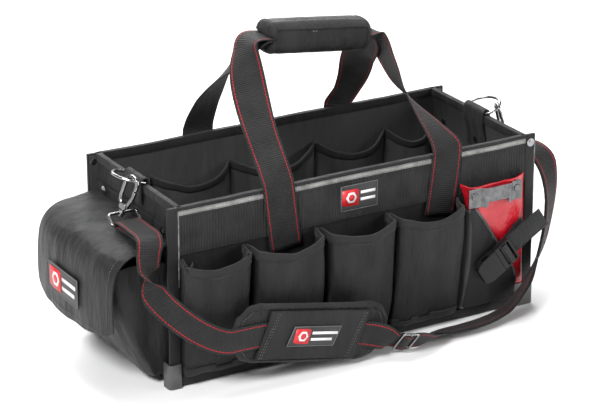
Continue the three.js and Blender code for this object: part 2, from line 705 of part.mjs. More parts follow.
// The flap from its riveted edge, out over the pocket and down to its lower edge: out is a share of
// the pocket's depth from the wall's foot, none where it lies on the wall, and up is a share of the
// flap's drop from its root.
const flapRows = [
  { out: null, up: 0.14 }, { out: null, up: 0.012 }, { out: 0.04, up: 0 },
  { out: 0.45, up: -0.006 }, { out: 0.78, up: -0.03 }, { out: 1, up: -0.11 }, { out: 1.1, up: -0.25 },
  { out: 1.13, up: -0.46 }, { out: 1.14, up: -0.75 }, { out: 1.13, up: -1 },
];
const flapDrop = 130;
const flapColumns = [-1, -0.93, -0.7, -0.25, 0.25, 0.7, 0.93, 1];
const flapReach = innerFace - 3;
const flapX = (out) => wallFace(0) + GAP + out * SIDE_DEPTH;

function flapPoint(u, v) {
  const { out, up } = flapRows[v];
  const free = ease((v - 1) / 3);
  const low = Math.max(0, -up - 0.46) / 0.54;
  const round = Math.max(0, (Math.abs(u) - 0.5) / 0.5) ** 2.4 * low ** 3 * flapDrop * 0.16;
  const shoulder = Math.max(0, (Math.abs(u) - 0.7) / 0.3) ** 2 * 6 * free;
  const bulge = 5 * (1 - u * u) * free;
  const z = FLAP_ROOT + up * flapDrop;
  const inner = out === null ? wallAt(z) + GAP : flapX(out);
  return vec(-(inner + bulge - shoulder), u * flapReach, z + round - shoulder * 0.6);
}

const flapBores = endRivets.filter((row) => row.side < 0)
  .map((row) => boreAlong('x', -1, endRivetX, row.y, endRivetZ, 12));
const flapSheet = sheet(flapColumns, flapRows.map((_, i) => i), flapPoint, FLAP);
add('side_flap', without(flapSheet, ...flapBores), 'cloth');

// Red holster pouch, the black panel over it and the tape clip
const pouchOut = GAP + BAND + GAP;
// Heights from the pouch's tip to its top, with the edges there as shares of half the length.
const holsterRows = [
  { z: 0.15, left: 0.9, right: 0.935, depth: 4 }, { z: 0.3, left: 0.8, right: 0.935, depth: 9 },
  { z: 0.45, left: 0.7, right: 0.93, depth: 13 }, { z: 0.62, left: 0.61, right: 0.925, depth: 16 },
  { z: 0.735, left: 0.595, right: 0.925, depth: 17 }, { z: 0.795, left: 0.572, right: 0.93, depth: 17 },
];
const holsterPlan = [
  { side: 0, out: 0 }, { side: 0.06, out: 0.85 }, { side: 0.14, out: 1 }, { side: 0.36, out: 1 },
  { side: 0.6, out: 1 }, { side: 0.82, out: 0.92 }, { side: 0.94, out: 0.6 }, { side: 1, out: 0 },
];
add('holster_pouch', sheet(holsterPlan.map((_, i) => i), holsterRows.map((_, i) => i), (i, j) => {
  const { side, out } = holsterPlan[i];
  const { z, left, right, depth } = holsterRows[j];
  return onFrontFace(mix(left, right, side) * halfLength, pouchOut + out * depth, z * HEIGHT);
}, CLOTH), 'vinyl');

const coverRows = [
  { z: 0.078, left: 0.575, right: 0.875, depth: 9 }, { z: 0.16, left: 0.575, right: 0.88, depth: 16 },
  { z: 0.26, left: 0.575, right: 0.87, depth: 20 }, { z: 0.36, left: 0.575, right: 0.8, depth: 22 },
  { z: 0.5, left: 0.575, right: 0.72, depth: 23 }, { z: 0.61, left: 0.575, right: 0.66, depth: 23 },
  { z: 0.672, left: 0.575, right: 0.62, depth: 22 },
];
const coverPlan = [
  { side: 0, out: 0.1 }, { side: 0.03, out: 0.86 }, { side: 0.12, out: 1 }, { side: 0.4, out: 1.03 },
  { side: 0.7, out: 0.99 }, { side: 1, out: 0.94 },
];
add('holster_panel', sheet(coverPlan.map((_, i) => i), coverRows.map((_, i) => i), (i, j) => {
  const { side, out } = coverPlan[i];
  const { z, left, right, depth } = coverRows[j];
  return onFrontFace(mix(left, right, side) * halfLength, GAP + out * depth, z * HEIGHT);
}, CLOTH), 'cloth');

const clipOut = pouchOut + 17 + CLOTH + GAP;
const clipSteel = 1.2;
const clipRise = 5.5;
const clipX = [0.577, 0.645, 0.66, 0.81, 0.825, 0.882].map((share) => share * halfLength);
const clipOutline = [
  [clipX[0], 0], [clipX[1], 0], [clipX[2], clipRise], [clipX[3], clipRise], [clipX[4], 0], [clipX[5], 0],
];
const clipSection = [
  ...clipOutline, ...clipOutline.map(([x, out]) => [x, out + clipSteel]).reverse(),
];
const clipZ = [0.675 * HEIGHT, 0.785 * HEIGHT];
const clipPlate = extrudeThrough(clipSection, clipZ.map((z) => ((x, out) => onFrontFace(x, clipOut + out, z))));
const clipCut = block(clipX[2] + 5, clipX[3] - 4, -(frontFace + clipOut + 12), -(frontFace + clipOut + 2),
  clipZ[0] - 1, clipZ[0] + 7);
const clipStuds = [(clipX[0] + clipX[1]) / 2, (clipX[4] + clipX[5]) / 2].map((x) => (
  rod(onFrontFace(x, clipOut + 0.4, mix(...clipZ, 0.6)), onFrontFace(x, clipOut + 3, mix(...clipZ, 0.6)),
    RIVET_HEAD * 0.9, 12)
));
add('tape_clip', joined(without(clipPlate, clipCut), ...clipStuds), 'chrome');

// Holster strap through its fastened side-release buckle
const buckleAxis = vec(-0.84, 0, -0.543).normalize();
const buckleAcross = vec(-0.543, 0, 0.84).normalize();
const buckleOut = 36.5;
const buckleMiddle = onFrontFace(0.715 * halfLength, buckleOut, 0.36 * HEIGHT);
const buckleAt = (s, w, out) => buckleMiddle.clone().addScaledVector(buckleAxis, s)
  .addScaledVector(buckleAcross, w).add(vec(0, -out, 0));
const bucklePlate = (outline, from, to) => (
  extrudeThrough(outline, [from, to].map((out) => ((s, w) => buckleAt(s, w, out))))
);
const buckleBox = (s0, s1, w0, w1, out0, out1) => (
  bucklePlate([[s0, w0], [s1, w0], [s1, w1], [s0, w1]], out0, out1)
);
const socketHalf = 20;
const socketShell = bucklePlate([
  [-4, -socketHalf], [20, -socketHalf], [30, -socketHalf + 4], [33, -socketHalf + 7],
  [33, socketHalf - 7], [30, socketHalf - 4], [20, socketHalf], [-4, socketHalf],
], -5.5, 5.5);
const socketHollow = buckleBox(-6, 24, -socketHalf + 4, socketHalf - 4, -3.4, 3.4);
const sideWindow = (end) => buckleBox(7, 19, end * (socketHalf - 5), end * (socketHalf + 2), -3.4, 3.4);
add('buckle_socket', without(socketShell, socketHollow, sideWindow(1), sideWindow(-1)), 'moulded');
const plugFrame = bucklePlate([
  [-33, -socketHalf + 2], [-30, -socketHalf], [-4.4, -socketHalf], [-4.4, socketHalf],
  [-30, socketHalf], [-33, socketHalf - 2],
], -4.5, 4.5);
const plugSlot = (s0, s1) => buckleBox(s0, s1, -HOLSTER_WEBBING / 2 - 0.7, HOLSTER_WEBBING / 2 + 0.7, -8, 8);
const prong = (end) => bucklePlate([
  [-6, end * 8], [-6, end * 13], [8, end * 14.4], [11, end * 15.6], [17, end * 15.6], [20, end * 11],
  [12, end * 9],
], -2.8, 2.8);
const tongue = buckleBox(-6, 18, -3, 3, -2.8, 2.8);
add('buckle_plug', joined(without(plugFrame, plugSlot(-29, -23), plugSlot(-18, -12)),
  prong(1), prong(-1), tongue), 'moulded');

// The strap from its free end, under the plug's end bar, over the middle one and back to the wall.
const holsterRun = [
  [-98, -3], [-64, -5], [-36, -6.2], [-31, -6.3], [-28.2, -6], [-26.5, -4.2], [-25.8, 0], [-24.8, 4.4],
  [-22.6, 6.2], [-18.4, 6.2], [-16.4, 4.6], [-15, 0], [-14.6, -5], [-16, -8.6], [-20, -9.6], [-34, -9.8],
  [-46, -12], [-56, -15.6], [-64, -16], [-72, -17.6],
];
add('holster_strap', webbing(holsterRun.map(([s, out]) => (
  { at: buckleAt(s, 0, out), across: buckleAcross.clone() }
)), HOLSTER_WEBBING, HOLSTER_THICK), 'webbing');

// Inner tool pockets: one cloth sewn to the back wall at the cusps
const cusps = [-0.925, -0.683, -0.243, 0.237, 0.64, 0.925].map((share) => share * halfLength);
const innerColumns = cusps.slice(0, -1).flatMap((_, k) => [0, 0.1, 0.35, 0.65, 0.9].map((t) => k + t))
  .concat(cusps.length - 1);
const innerRows = [0, 0.02, 0.3, 0.6, 0.85, 1];
add('inner_pockets', sheet(innerColumns, innerRows, (u, v) => {
  const k = Math.min(Math.floor(u), cusps.length - 2);
  const t = u - k;
  const belly = Math.sin(Math.PI * t) ** 0.55;
  const share = v === 0 ? 0 : 0.35 + 0.65 * v;
  const sag = 24 * Math.sin(Math.PI * t) * v ** 4;
  const x = mix(cusps[k], cusps[k + 1], t);
  const out = GAP + CLOTH + belly * INNER_DEPTH * share;
  return vec(x, innerFace - out, mix(BASE_BOARD + 3, INNER_TOP, v) - sag);
}, -CLOTH), 'cloth');

// Carry handles. A row gives a point of the middle line and the direction of the width there.
const gripMiddle = vec(0, 0, HEIGHT + GRIP_RISE);
const gripAxis = vec(Math.cos(GRIP_TILT), 0, -Math.sin(GRIP_TILT));
const gripUp = vec(Math.sin(GRIP_TILT), 0, Math.cos(GRIP_TILT));
const gripSpot = (along, lift) => gripMiddle.clone().addScaledVector(gripAxis, along)
  .addScaledVector(gripUp, lift);
const legOut = TRIM + 2 * GAP + HANDLE_THICK / 2;
const legFoot = HEIGHT * 0.65;
// Each row: x of the leg as a share of half the length, y as a share of half the width, z from the
// rim to the grip, and the turn of the width from along X towards along Y.
const handleRows = {
  front: {
    left: [
      { x: -0.39, y: null, z: -0.35, turn: 0 }, { x: -0.41, y: null, z: -0.18, turn: 0 },
      { x: -0.43, y: null, z: 0, turn: 0 }, { x: -0.433, y: null, z: 0.04, turn: 0 },
      { x: -0.443, y: 0.93, z: 0.17, turn: 3 }, { x: -0.447, y: 0.66, z: 0.42, turn: 8 },
      { x: -0.435, y: 0.4, z: 0.68, turn: 30 }, { x: -0.412, y: 0.2, z: 0.86, turn: 58 },
      { x: -0.385, y: 0.06, z: 1, turn: 86 }, { x: -0.345, y: 0.01, z: 1.075, turn: 90 },
    ],
    right: [
      { x: 0.45, y: null, z: -0.35, turn: 0 }, { x: 0.472, y: null, z: -0.18, turn: 0 },
      { x: 0.49, y: null, z: 0, turn: 0 }, { x: 0.486, y: null, z: 0.04, turn: 0 },
      { x: 0.45, y: 0.9, z: 0.18, turn: 30 }, { x: 0.4, y: 0.66, z: 0.36, turn: 62 },
      { x: 0.362, y: 0.36, z: 0.58, turn: 84 }, { x: 0.35, y: 0.12, z: 0.8, turn: 90 },
      { x: 0.343, y: 0.03, z: 0.9, turn: 90 }, { x: 0.325, y: 0.01, z: 0.95, turn: 90 },
    ],
  },
  back: {
    left: [
      { x: -0.4, y: null, z: -0.35, turn: 0 }, { x: -0.405, y: null, z: -0.18, turn: 0 },
      { x: -0.4, y: null, z: 0, turn: 0 }, { x: -0.4, y: null, z: 0.04, turn: 0 },
      { x: -0.4, y: 0.94, z: 0.17, turn: 4 }, { x: -0.398, y: 0.72, z: 0.42, turn: 16 },
      { x: -0.39, y: 0.42, z: 0.68, turn: 40 }, { x: -0.372, y: 0.2, z: 0.86, turn: 66 },
      { x: -0.35, y: 0.07, z: 0.97, turn: 86 }, { x: -0.32, y: 0.01, z: 1.035, turn: 90 },
    ],
    right: [
      { x: 0.385, y: null, z: -0.35, turn: 0 }, { x: 0.385, y: null, z: -0.18, turn: 0 },
      { x: 0.39, y: null, z: 0, turn: 0 }, { x: 0.396, y: null, z: 0.04, turn: 0 },
      { x: 0.43, y: 0.94, z: 0.17, turn: 6 }, { x: 0.42, y: 0.74, z: 0.38, turn: 22 },
      { x: 0.358, y: 0.46, z: 0.6, turn: 52 }, { x: 0.326, y: 0.17, z: 0.76, turn: 84 },
      { x: 0.31, y: 0.02, z: 0.87, turn: 90 },
    ],
  },
};

function handle(face, { left, right }, lift) {
  const leg = (rows, end) => rows.map(({ x, y, z, turn }) => {
    const angle = THREE.MathUtils.degToRad(turn);
    const out = y === null ? frontFace + legOut : y * halfWidth;
    const height = z < 0 ? HEIGHT + z * HEIGHT : HEIGHT + z * GRIP_RISE + (y === null ? 0 : lift);
    return {
      at: vec(x * halfLength, face * out, height),
      across: vec(-end * Math.cos(angle), face * Math.sin(angle), 0),
    };
  });
  const inside = [-0.5, -0.47, 0, 0.47, 0.5].map((part) => ({
    at: gripSpot(part * (GRIP_LENGTH + 4), lift), across: vec(0, face, 0),
  }));
  return webbing([...leg(left, -1), ...inside, ...leg(right, 1).reverse()], HANDLE_WEBBING, HANDLE_THICK,
    { perSpan: 2 });
}

const layer = HANDLE_THICK / 2 + 1.6 * GAP;
add('front_handle', handle(-1, handleRows.front, layer), 'webbing');
add('back_handle', handle(1, handleRows.back, -layer), 'webbing');

// The padded grip: rounded rings along its axis, with a slot for both handles
const gripRings = [
  { along: -0.5, size: 0.8 }, { along: -0.47, size: 0.96 }, { along: -0.38, size: 1 },
  { along: 0, size: 1 }, { along: 0.38, size: 1 }, { along: 0.47, size: 0.96 }, { along: 0.5, size: 0.8 },
];
const gripSection = shares(16).slice(0, -1).map((t) => {
  const angle = t * 2 * Math.PI;
  const soft = (value) => Math.sign(value) * Math.abs(value) ** 0.72;
  return [soft(Math.cos(angle)) * GRIP_DEPTH / 2, soft(Math.sin(angle)) * GRIP_HEIGHT / 2];
});
const gripForm = loft(gripRings.map(({ along, size }) => gripSection.map(([y, up]) => (
  gripSpot(along * GRIP_LENGTH, up * size).add(vec(0, y * size, 0))
))), capFaces(gripSection));
const slotSize = [HANDLE_WEBBING / 2 + 1, HANDLE_THICK + 3 * GAP];
const gripSlot = extrudeThrough([[-1, -1], [1, -1], [1, 1], [-1, 1]].map(([y, up]) => [
  y * slotSize[0], up * slotSize[1],
]), [-0.6, 0.6].map((along) => ((y, up) => gripSpot(along * GRIP_LENGTH, up).add(vec(0, y, 0)))));
add('grip', without(gripForm, gripSlot), 'cloth');

// The shoulder pad lies in an upright plane in front of the tote, sloping down to the right.
const share = (x, y, z) => vec(x * halfLength, y * halfWidth, z * HEIGHT);
const padMiddle = share(-0.365, -1.48, 0.243);
const padSlope = THREE.MathUtils.degToRad(11.5);
const padAlong = vec(Math.cos(padSlope), 0, -Math.sin(padSlope));
const padUp = vec(Math.sin(padSlope), 0, Math.cos(padSlope));
const padSpot = (along, up, out) => padMiddle.clone().addScaledVector(padAlong, along)
  .addScaledVector(padUp, up).add(vec(0, -out, 0));
const padFront = STRAP_THICK / 2 + 2 * GAP;
const padBack = padFront + PAD;
// Outline of the pad: along and up from its middle, as shares of half its length and half its height.
const padHalf = { along: 130, up: 47 };
const padOutline = [
  [-1, 0.02], [-0.97, 0.5], [-0.85, 0.86], [-0.7, 1], [-0.3, 1], [0.3, 1], [0.72, 1], [0.87, 0.86],
  [0.97, 0.44], [0.99, -0.04], [0.94, -0.44], [0.82, -0.76], [0.66, -0.93], [0.24, -0.98], [-0.3, -0.98],
  [-0.7, -0.95], [-0.85, -0.82], [-0.97, -0.44],
].map(([along, up]) => [along * padHalf.along, up * padHalf.up]);
const padRings = [[padBack, 0.93], [padBack - 2, 1], [padFront + 2, 1], [padFront, 0.95]];
add('shoulder_pad', loft(padRings.map(([back, size]) => padOutline.map(([along, up]) => (
  padSpot(along * size, up * size, -back)
))), capFaces(padOutline)), 'cloth');

const coverHalf = 80;
const coverUp = 35;
const coverSkew = 7;
const coverOutline = [
  [-coverHalf - coverSkew, -coverUp], [coverHalf - coverSkew, -coverUp],
  [coverHalf + coverSkew, coverUp], [-coverHalf + coverSkew, coverUp],
];
const coverFront = padFront + CLOTH;
const coverPlate = extrudeThrough(coverOutline, [-padFront + GAP, coverFront].map((out) => (
  (along, up) => padSpot(along, up, out)
)));
const coverTunnel = STRAP_WEBBING / 2 + 4;
const coverHollow = extrudeThrough([
  [-2 * coverHalf, -coverTunnel], [2 * coverHalf, -coverTunnel],
  [2 * coverHalf, coverTunnel], [-2 * coverHalf, coverTunnel],
], [-padFront - 2, padFront].map((out) => ((along, up) => padSpot(along, up, out))));
add('pad_cover', without(coverPlate, coverHollow), 'moulded');

// Shoulder strap. A row gives the middle of the webbing and the direction of its width.
const leftBar = swivelBar(leftHook);
const rightBar = swivelBar(rightHook);
const barWrap = RING_WIRE / 2 + GAP + STRAP_THICK / 2 + 0.1;
const fromBar = (middle, x, y, z) => middle.clone().add(vec(x, y, z));
const alongX = vec(1, 0, 0);
const downPad = padUp.clone().negate();

// Left run: sewn back on itself round the ring, over the flap's corner, a half turn, then along the
// front and into the pad.
const turnRound = (middle, radius) => arc(middle, vec(0, radius, 0), vec(0, 0, radius), -90, 90, 6);
const leftRun = [
  { at: fromBar(leftBar, -5, -80, 4.5), across: alongX },
  { at: fromBar(leftBar, -1.5, -42, 1), across: alongX },
  { at: fromBar(leftBar, 0, -12, -barWrap + 1.2), across: alongX },
  ...turnRound(leftBar, barWrap).map((at) => ({ at, across: alongX })),
  { at: fromBar(leftBar, 0, -12, barWrap + 1.2), across: alongX },
  { at: fromBar(leftBar, -2, -42, 6.5), across: alongX },
  { at: fromBar(leftBar, -7, -76, 10), across: alongX },
  { at: fromBar(leftBar, -13, -94, 5), across: alongX },
  { at: share(-1.113, -1.065, 0.79), across: alongX },
  { at: share(-1.118, -1.085, 0.715), across: vec(0.96, 0.28, 0) },
  { at: share(-1.12, -1.1, 0.655), across: vec(0.1, 1, 0) },
  { at: share(-1.105, -1.16, 0.585), across: vec(-0.8, 0.2, -0.5) },
  { at: share(-1.03, -1.3, 0.475), across: vec(-0.7, 0, -0.75) },
  { at: share(-0.926, -1.42, 0.375), across: vec(-0.5, 0, -0.85) },
  { at: padSpot(-136, -9, 0), across: vec(-0.3, 0, -0.95) },
  { at: padSpot(-112, -6, 0), across: downPad },
  { at: padSpot(-76, 0, 0), across: downPad },
  { at: padSpot(-42, 0, 0), across: downPad },
];
add('strap_left', webbing(leftRun, STRAP_WEBBING, STRAP_THICK, { perSpan: 2 }), 'webbing');

// Right run: out of the pad and through the tri-glide, along the floor, up round the corner to the
// right ring, and back as a second layer to the tri-glide.
const layerLift = STRAP_THICK / 2 + GAP;
const glideMiddle = share(0.127, -1.56, 0.086);
const glideAcross = vec(0.05, -0.63, 0.78).normalize();
const glideAhead = vec(0.965, -0.05, -0.258).projectOnPlane(glideAcross).normalize();
const glideNormal = glideAhead.clone().cross(glideAcross).normalize();
const glideReach = 12;
const glideDip = GLIDE_WIRE / 2 + STRAP_THICK / 2 + GAP;
const glideSpot = (ahead, across, lift = 0) => glideMiddle.clone().addScaledVector(glideAhead, ahead)
  .addScaledVector(glideAcross, across).addScaledVector(glideNormal, lift);
const throughGlide = [
  [-1.7, -1.1], [-1.1, -1.2], [-0.8, -1], [-0.42, 0], [0, 1.05], [0.42, 0], [0.8, -1], [1.1, -1.2],
  [1.7, -1.1],
].map(([ahead, lift]) => (
  { at: glideSpot(ahead * glideReach, 0, lift * glideDip - layerLift), across: glideAcross }
));
const fromPad = [
  { at: padSpot(-40, 0, -layerLift), across: padUp }, { at: padSpot(30, 0, -layerLift), across: padUp },
  { at: padSpot(84, -1, -layerLift), across: padUp },
  { at: padSpot(118, -5, 5), across: vec(0.17, -0.06, 0.98) },
];
// Places along the run as shares of the tote, and the direction of the webbing's nearer edge.
const risingRun = [
  [[0.265, -1.51, 0.054], [0.03, -0.76, 0.64]], [[0.335, -1.39, 0.04], [-0.1, -0.9, 0.42]],
  [[0.4, -1.345, 0.034], [-0.1, -0.95, 0.3]], [[0.5, -1.35, 0.033], [-0.08, -0.96, 0.25]],
  [[0.63, -1.325, 0.034], [-0.15, -0.95, 0.26]], [[0.725, -1.28, 0.042], [-0.22, -0.93, 0.28]],
  [[0.785, -1.285, 0.068], [-0.25, -0.92, 0.28]], [[0.843, -1.29, 0.128], [-0.3, -0.9, 0.3]],
  [[0.91, -1.25, 0.192], [-0.35, -0.87, 0.35]], [[0.972, -1.17, 0.27], [-0.5, -0.78, 0.38]],
  [[1.04, -1.095, 0.38], [-0.62, -0.65, 0.44]], [[1.09, -1.01, 0.5], [-0.7, -0.6, 0.4]],
  [[1.117, -0.95, 0.62], [-0.82, -0.5, 0.25]], [[1.122, -0.89, 0.72], [-0.92, -0.35, 0.1]],
  [[1.124, -0.78, 0.795], [-1, -0.1, 0]], [[1.11, -0.62, 0.835], [-1, 0, 0]],
  [[1.085, -0.44, 0.845], [-1, 0, 0]],
].map(([place, edge]) => ({ at: share(...place), across: vec(...edge) }));
const againstX = vec(-1, 0, 0);
const rightTurn = turnRound(rightBar, barWrap - layerLift).reverse()
  .map((at) => ({ at, across: againstX }));
const entering = { at: fromBar(rightBar, 0, -9, 2.6), across: againstX };
const leaving = { at: fromBar(rightBar, 0, -9, -1.2), across: againstX };
add('strap_right', webbing([
  ...fromPad, ...throughGlide, ...risingRun, entering, ...rightTurn, leaving, ...[...risingRun].reverse(),
], STRAP_WEBBING, STRAP_THICK, { lift: layerLift }), 'webbing');

// The tri-glide: a wire frame with a middle bar
const glideHalf = STRAP_WEBBING / 2 + GLIDE_WIRE / 2 + 0.6;
const glideRound = 3.5;
const glideCorner = (ahead, across, from) => arc(glideSpot(ahead, across),
  glideAhead.clone().multiplyScalar(glideRound), glideAcross.clone().multiplyScalar(glideRound),
  from, from + 90, 3);
const glideAt = [glideReach - glideRound, glideHalf - glideRound];
const glideFrame = bar([
  ...glideCorner(glideAt[0], glideAt[1], 0), ...glideCorner(-glideAt[0], glideAt[1], 90),
  ...glideCorner(-glideAt[0], -glideAt[1], 180), ...glideCorner(glideAt[0], -glideAt[1], 270),
], glideNormal, GLIDE_WIRE, 8, true);
const glideBar = rod(glideSpot(0, -glideHalf), glideSpot(0, glideHalf), GLIDE_WIRE - 0.4, 8);
add('tri_glide', joined(glideFrame, glideBar), 'chrome');

// Raised patches
const padPatch = [[-43, -16], [34, -16], [43, 14], [-34, 14]];
add('pad_patch', extrudeThrough(padPatch, [0, PATCH].map((out) => (
  (along, up) => padSpot(along, up, coverFront + GAP + out)
))), 'moulded');
const bandPatch = [-0.1 * halfLength, 0.103 * halfLength];
add('band_patch', block(...bandPatch, ...onFront(GAP + BAND + GAP, PATCH), 0.785 * HEIGHT, 0.93 * HEIGHT),
  'moulded');
const flapPatchOut = flapX(1.14) + FLAP + 5 + GAP;
add('flap_patch', block(-(flapPatchOut + PATCH), -flapPatchOut, -0.33 * innerFace, 0.48 * innerFace,
  0.41 * HEIGHT, 0.57 * HEIGHT), 'moulded');

export default tote;
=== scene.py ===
# %% [markdown]
# # An open top tool tote
# The tote is a stiff cloth box with pockets round it, two webbing handles under one padded grip, and
# a padded shoulder strap on snap hooks. Its real shapes come from the CAD frame. Each cell below
# gives one kind of piece the look of what it is made of, and says why it is made in that way.

# %% Load the frame
import math
import bpy
import bmesh
from mathutils import Matrix, Vector, noise
from mathutils.bvhtree import BVHTree
from mathutils.geometry import convex_hull_2d, intersect_point_line
from mathutils.kdtree import KDTree


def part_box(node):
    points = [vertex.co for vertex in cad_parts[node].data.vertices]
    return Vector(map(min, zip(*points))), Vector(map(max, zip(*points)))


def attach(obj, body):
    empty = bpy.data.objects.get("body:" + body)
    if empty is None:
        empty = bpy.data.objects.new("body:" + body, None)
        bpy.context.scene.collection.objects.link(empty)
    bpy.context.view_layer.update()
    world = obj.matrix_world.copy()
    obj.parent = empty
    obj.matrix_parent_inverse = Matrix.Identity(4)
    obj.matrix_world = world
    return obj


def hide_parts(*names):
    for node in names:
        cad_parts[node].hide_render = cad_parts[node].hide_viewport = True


noise.seed_set(5)
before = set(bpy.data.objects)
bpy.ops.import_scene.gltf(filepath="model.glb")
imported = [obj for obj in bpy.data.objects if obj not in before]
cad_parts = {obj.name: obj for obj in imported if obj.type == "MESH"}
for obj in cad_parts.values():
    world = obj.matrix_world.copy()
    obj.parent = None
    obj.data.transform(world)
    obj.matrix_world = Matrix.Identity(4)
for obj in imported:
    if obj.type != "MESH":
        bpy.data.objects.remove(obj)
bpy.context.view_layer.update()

# %% [markdown]
# The camera stands where the photographer stood: low over the front left corner and far away, so the
# long side runs nearly straight. A long lens keeps the box from spreading towards the viewer.

# %% Camera
def aimed(name, data, place, target):
    obj = bpy.data.objects.new(name, data)
    bpy.context.scene.collection.objects.link(obj)
    obj.location = place
    obj.rotation_euler = (Vector(target) - Vector(place)).to_track_quat("-Z", "Y").to_euler()
    return obj


lens = bpy.data.cameras.new("camera")
lens.lens = 156
lens.sensor_width = 36
bpy.context.scene.camera = aimed("camera", lens, (-1.7733, -3.0164, 1.5547), (-0.0219, 0, 0.1773))

# %% [markdown]
# Soft light comes from big panels: one high on the left as the key, one on the right to open the
# shadows, one overhead, and one behind to draw the edges of the black cloth. Bright bands in the sky
# give the chrome something to mirror, and dark bands the contrast that plating has.

# %% Floor and light
def panel_light(name, place, target, size, power):
    data = bpy.data.lights.new(name, "AREA")
    data.shape = "RECTANGLE"
    data.size, data.size_y = size
    data.energy = power
    return aimed(name, data, place, target)


panel_light("key", (-2.3, -1.5, 2.4), (0, 0, 0.15), (1.2, 0.9), 135)
panel_light("fill", (2.6, -2.4, 1.5), (0.1, 0, 0.15), (1.6, 1.2), 55)
panel_light("top", (0.2, 0.5, 2.8), (0, 0, 0.2), (1.8, 1.4), 85)
panel_light("rim", (0.8, 2.8, 1.7), (0, 0, 0.3), (2.0, 1.0), 60)
world = bpy.data.worlds.new("studio")
world.use_nodes = True
sky = world.node_tree
sky.nodes["Background"].inputs["Strength"].default_value = 0.2
sky_place = sky.nodes.new("ShaderNodeTexCoord")
sky_height = sky.nodes.new("ShaderNodeSeparateXYZ")
sky_bands = sky.nodes.new("ShaderNodeValToRGB")
sky.links.new(sky_place.outputs["Generated"], sky_height.inputs[0])
sky.links.new(sky_height.outputs[2], sky_bands.inputs["Fac"])
sky.links.new(sky_bands.outputs["Color"], sky.nodes["Background"].inputs["Color"])
for position, grey in (
    (0.0, 4.6), (0.12, 4.6), (0.2, 0.05), (0.34, 0.08), (0.5, 1.1), (0.7, 0.9), (0.8, 0.12),
):
    if position == 0.0:
        stop = sky_bands.color_ramp.elements[0]
    else:
        stop = sky_bands.color_ramp.elements.new(position)
    stop.position = position
    stop.color = (grey, grey, grey, 1)
sky_bands.color_ramp.elements[-1].color = (0.5, 0.5, 0.5, 1)
bpy.context.scene.world = world
bpy.context.scene.view_settings.view_transform = "Standard"

floor_form = bmesh.new()
bmesh.ops.create_circle(floor_form, cap_ends=True, segments=96, radius=2.6)
floor_mesh = bpy.data.meshes.new("floor")
floor_form.to_mesh(floor_mesh)
floor_form.free()
floor = bpy.data.objects.new("floor", floor_mesh)
bpy.context.scene.collection.objects.link(floor)

# %% [markdown]
# Every finish starts from the same shader, and small helpers add nodes to it. The patterns read
# Object coordinates in metres, so a thread is a thread's size on every piece, or a UV map in metres
# where the pattern has to follow a strap.

# %% Helpers for finishes
class Finish:
    def __init__(self, name, colour, rough, **sockets):
        self.material = bpy.data.materials.new(name)
        self.material.use_nodes = True
        self.tree = self.material.node_tree
        self.shader = self.tree.nodes["Principled BSDF"]
        self.shader.inputs["Base Color"].default_value = (*colour, 1)
        self.shader.inputs["Roughness"].default_value = rough
        for socket, value in sockets.items():
            self.shader.inputs[socket.replace("_", " ")].default_value = value

    def node(self, kind, **settings):
        made = self.tree.nodes.new(kind)
        for key, value in settings.items():
            if key in made.inputs:
                made.inputs[key].default_value = value
            else:
                setattr(made, key, value)
        return made

    def join(self, out, into):
        self.tree.links.new(out, into)

    def sum(self, operation, first, second=None):
        made = self.node("ShaderNodeMath", operation=operation)
        for socket, value in zip(made.inputs, (first, second)):
            if isinstance(value, (int, float)):
                socket.default_value = value
            elif value is not None:
                self.join(value, socket)
        return made.outputs[0]

    def place(self, kind="Object"):
        return self.node("ShaderNodeTexCoord").outputs[kind]

    def speckle(self, scale, detail=3.0, where=None):
        made = self.node("ShaderNodeTexNoise", Scale=scale, Detail=detail)
        self.join(where or self.place(), made.inputs["Vector"])
        return made.outputs["Fac"]

    def bump(self, height, depth, strength=1.0, under=None):
        made = self.node("ShaderNodeBump", Strength=strength, Distance=depth)
        self.join(height, made.inputs["Height"])
        if under:
            self.join(under, made.inputs["Normal"])
        self.join(made.outputs["Normal"], self.shader.inputs["Normal"])
        return made.outputs["Normal"]

    def tint(self, factor, dark, light, low=0.35, high=0.65):
        ramp = self.node("ShaderNodeValToRGB")
        ramp.color_ramp.elements[0].position = low
        ramp.color_ramp.elements[0].color = (*dark, 1)
        ramp.color_ramp.elements[1].position = high
        ramp.color_ramp.elements[1].color = (*light, 1)
        self.join(factor, ramp.inputs["Fac"])
        return ramp.outputs["Color"]

    def over(self, factor, below, above):
        mixed = self.node("ShaderNodeMix", data_type="RGBA")
        self.join(factor, mixed.inputs["Factor"])
        for value, socket in ((below, mixed.inputs["A"]), (above, mixed.inputs["B"])):
            if isinstance(value, tuple):
                socket.default_value = (*value, 1)
            else:
                self.join(value, socket)
        return mixed.outputs["Result"]

    def colour(self, value):
        self.join(value, self.shader.inputs["Base Color"])


floor_finish = Finish("pale_floor", (0.93, 0.93, 0.93), 0.6)
floor_mesh.materials.append(floor_finish.material)
